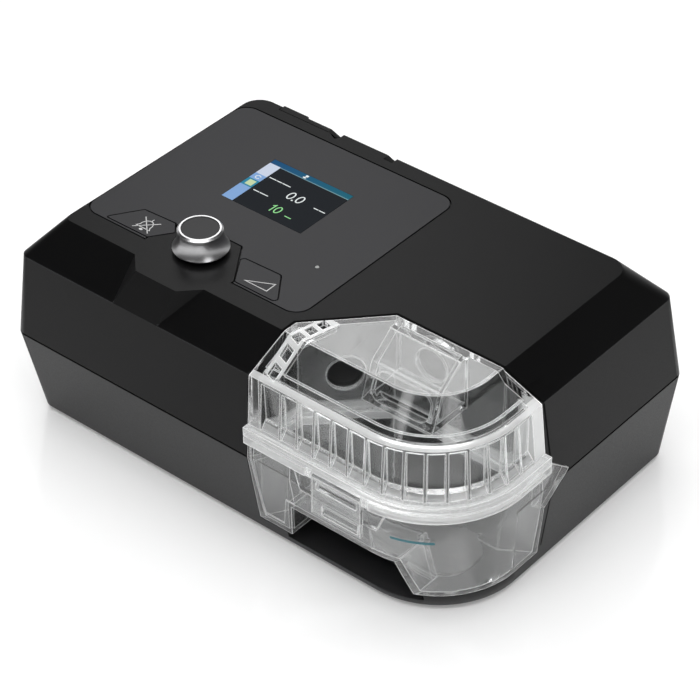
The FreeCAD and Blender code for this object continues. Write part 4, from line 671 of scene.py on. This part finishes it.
# Polished polycarbonate: the lid is the clearest, and the tub is dulled by hot water.
# Lid and tub: textured zones look white, sharp edges and the lid's end carry a painted highlight,
# and all of them a painted glow.
lid_pc = clear_moulding("clear_polycarbonate", "#f6f8f8", rough_low=0.02, rough_high=0.08,
                        haze_mm=18.0, clear=0.993, frost_and_painted_highlight=textured_and_highlit_zones)
dress(lid_pc, "chamber_lid")
tub_pc = clear_moulding("hazed_polycarbonate", "#f6f8f8", rough_low=0.02, rough_high=0.08,
                        haze_mm=18.0, clear=0.965, frost_and_painted_highlight=textured_and_highlit_zones)
dress(tub_pc, "chamber_tub")
# The clip is white only along its sharp edges, a painted highlight with a painted glow.
latch_pc = clear_moulding("clear_polycarbonate_clip", "#f6f8f8", rough_low=0.05,
                          rough_high=0.12, haze_mm=9.0, clear=0.9,
                          frost_and_painted_highlight=lambda tree, place: sharp_edges(tree))
dress(latch_pc, "lid_latch")
soften(0.3, "chamber_tub", "lid_latch")

# Silicone: soft and milky, so light goes through it but no shape can be made out.
silicone = clear_moulding("clear_silicone", "#e6e8e8", rough_low=0.25, rough_high=0.4,
                          haze_mm=6.0, clear=0.6)
dress(silicone, "chamber_seal")

# Water level line: a plain stripe of teal ink 1.6 mm high, pad-printed on the rounded front
# corner of the tub, in the place of the marked line on the real one.

# Dried ink: a satin, nearly even teal.
teal_ink = satin_moulding("teal_printing_ink", "#056470", "#0a6f7a", rough=0.4, grain_mm=0.3,
                          depth_mm=0.01)
LINE_LOW, LINE_HIGH = 0.0460, 0.0476
# The rounded wall at the line's lower edge, in metres: its axis and its radius, and how much
# each grows per metre of height, since the tub flares upwards.
WALL_X, WALL_Y, WALL_RADIUS = 0.084569, -0.044910, 0.046745
WALL_X_RISE, WALL_Y_RISE, WALL_RADIUS_RISE = 0.032, -0.117, 0.0638
INK_OUT = 0.00006


def corner_stripe(start, end, low, high, steps=24):
    """Strip round the tub's corner: points (x0 + r cos a, y0 - r sin a, z) for angles a from
    start to end degrees, on a wall whose axis and radius change evenly with height, and
    INK_OUT outside it."""
    a = np.radians(np.linspace(start, end, steps))
    rows = []
    for z in (low, high):
        above = z - LINE_LOW
        r = WALL_RADIUS + WALL_RADIUS_RISE * above + INK_OUT
        x0, y0 = WALL_X + WALL_X_RISE * above, WALL_Y + WALL_Y_RISE * above
        rows.append(np.stack([x0 + r * np.cos(a), y0 - r * np.sin(a), np.full(steps, z)], -1))
    first = np.arange(steps - 1)
    faces = np.stack([first, first + steps, first + steps + 1, first + 1], -1)
    return np.concatenate(rows), faces


line_points, line_faces = corner_stripe(76.2, 51.4, LINE_LOW, LINE_HIGH)
level_line = mesh_piece("level_line", line_points, line_faces, teal_ink)
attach(level_line, "chamber")

# Metal parts: the tub's pressed stainless plate, ground steel pins and shafts, plated screws,
# the sheet that heats the plate, and the motor's copper winding.

# The grain is drawn out 12.5 times along X, which makes streaks of it, and its roughness strays
# by this much both ways.
STREAK_SCALE = (0.08, 1.0, 1.0)
STREAK_SPREAD = 0.08


def rolled_metal(name, dark, light, rough, grain_mm):
    """Metal with streaks drawn out along X, as rolling, grinding or winding leaves them, which
    break its highlights into lines."""
    material, tree, surface = blank_material(name)
    place = add_node(tree, "Mapping", {"Vector": add_node(tree, "TexCoord").outputs["Object"],
                                       "Scale": STREAK_SCALE})
    streaks = add_node(tree, "TexNoise", {"Vector": place, "Scale": 1000.0 / grain_mm,
                                          "Detail": 2.0})
    tone = add_node(tree, "Mix", {0: streaks, 6: linear(dark), 7: linear(light)},
                    data_type="RGBA")
    polish = add_node(tree, "MapRange", {"Value": streaks, "To Min": rough - STREAK_SPREAD,
                                         "To Max": rough + STREAK_SPREAD})
    shader = add_node(tree, "BsdfPrincipled", {"Base Color": tone.outputs[2], "Metallic": 1.0,
                                               "Roughness": polish})
    tree.links.new(shader.outputs[0], surface)
    return material


stainless = rolled_metal("pressed_stainless_steel", "#a4a4a4", "#c4c4c3", 0.32, 0.8)
dress(stainless, "chamber_plate")
ground_steel = rolled_metal("ground_steel_pin", "#9b9b9c", "#b5b5b6", 0.25, 0.4)
dress(ground_steel, "latch_pin", "encoder_shaft", "encoder_plunger", "rotor")
zinc_plate = rolled_metal("zinc_plated_steel", "#77787a", "#94959a", 0.38, 0.6)
dress(zinc_plate, "board_screws", "case_screws")
plain_alu = rolled_metal("plain_aluminium_sheet", "#b2b2b3", "#c9c9ca", 0.4, 0.9)
dress(plain_alu, "heater_plate")
copper_wire = rolled_metal("enamelled_copper_winding", "#8c4a22", "#b8683a", 0.35, 0.5)
dress(copper_wire, "motor_stator")

# Soft black parts: feet, blower mounts, port seals and the pad under the heater. They are
# moulded in rubber, whose fine dull skin swallows highlights.

black_rubber = satin_moulding("black_moulded_rubber", "#151515", "#1b1b1b", rough=0.72,
                              grain_mm=0.6, depth_mm=0.08)
dress(black_rubber, "rubber_feet", "blower_mounts", "port_seal_in", "port_seal_out",
      "heater_pad")

# Inner mouldings, ports, sockets, boards, fan, filter and light pipe: pressed, screwed or
# clipped into the case, each in the plain plastic, lacquer or foam that such a part has.

# Inner ABS is duller and paler than the case, since nobody sees it.
inner_grey = satin_moulding("dark_grey_abs_inner", "#333335", "#3b3b3d", rough=0.5,
                            grain_mm=0.8, depth_mm=0.05)
dress(inner_grey, "blower_lower", "blower_upper", "inlet_muffler", "inlet_duct", "outlet_duct")
# Polished ABS shines, so that a hose slides on to it.
port_black = satin_moulding("black_polished_abs", "#121213", "#171718", rough=0.24,
                            grain_mm=0.5, depth_mm=0.01)
dress(port_black, "hose_port")
# Nylon has a flat, slightly mottled black.
socket_black = satin_moulding("black_nylon_socket", "#141414", "#1a1a1a", rough=0.45,
                              grain_mm=0.4, depth_mm=0.03)
dress(socket_black, "power_jack", "card_socket", "encoder_body", "button_switches",
      "display_module")
# Acetal is a smooth, slightly waxy white.
fan_white = satin_moulding("white_acetal", "#d2d2cf", "#dcdcd9", rough=0.42, grain_mm=0.6,
                           depth_mm=0.03)
dress(fan_white, "impeller")
# Solder mask is a smooth green lacquer over woven glass.
board_green = satin_moulding("green_solder_mask", "#123d22", "#1a4c2b", rough=0.35,
                             grain_mm=0.6, depth_mm=0.03)
dress(board_green, "main_board", "rear_board")
# Open foam has deep cells and no shine.
foam_grey = satin_moulding("grey_open_cell_foam", "#6e7073", "#8f9295", rough=0.9,
                           grain_mm=0.5, depth_mm=0.4)
dress(foam_grey, "filter_pad")
# The light pipe's end is frosted, and looks grey while its light is off.
lens_white = satin_moulding("frosted_light_pipe", "#7e807e", "#8e908e", rough=0.3,
                            grain_mm=0.3, depth_mm=0.01)
dress(lens_white, "status_lens")
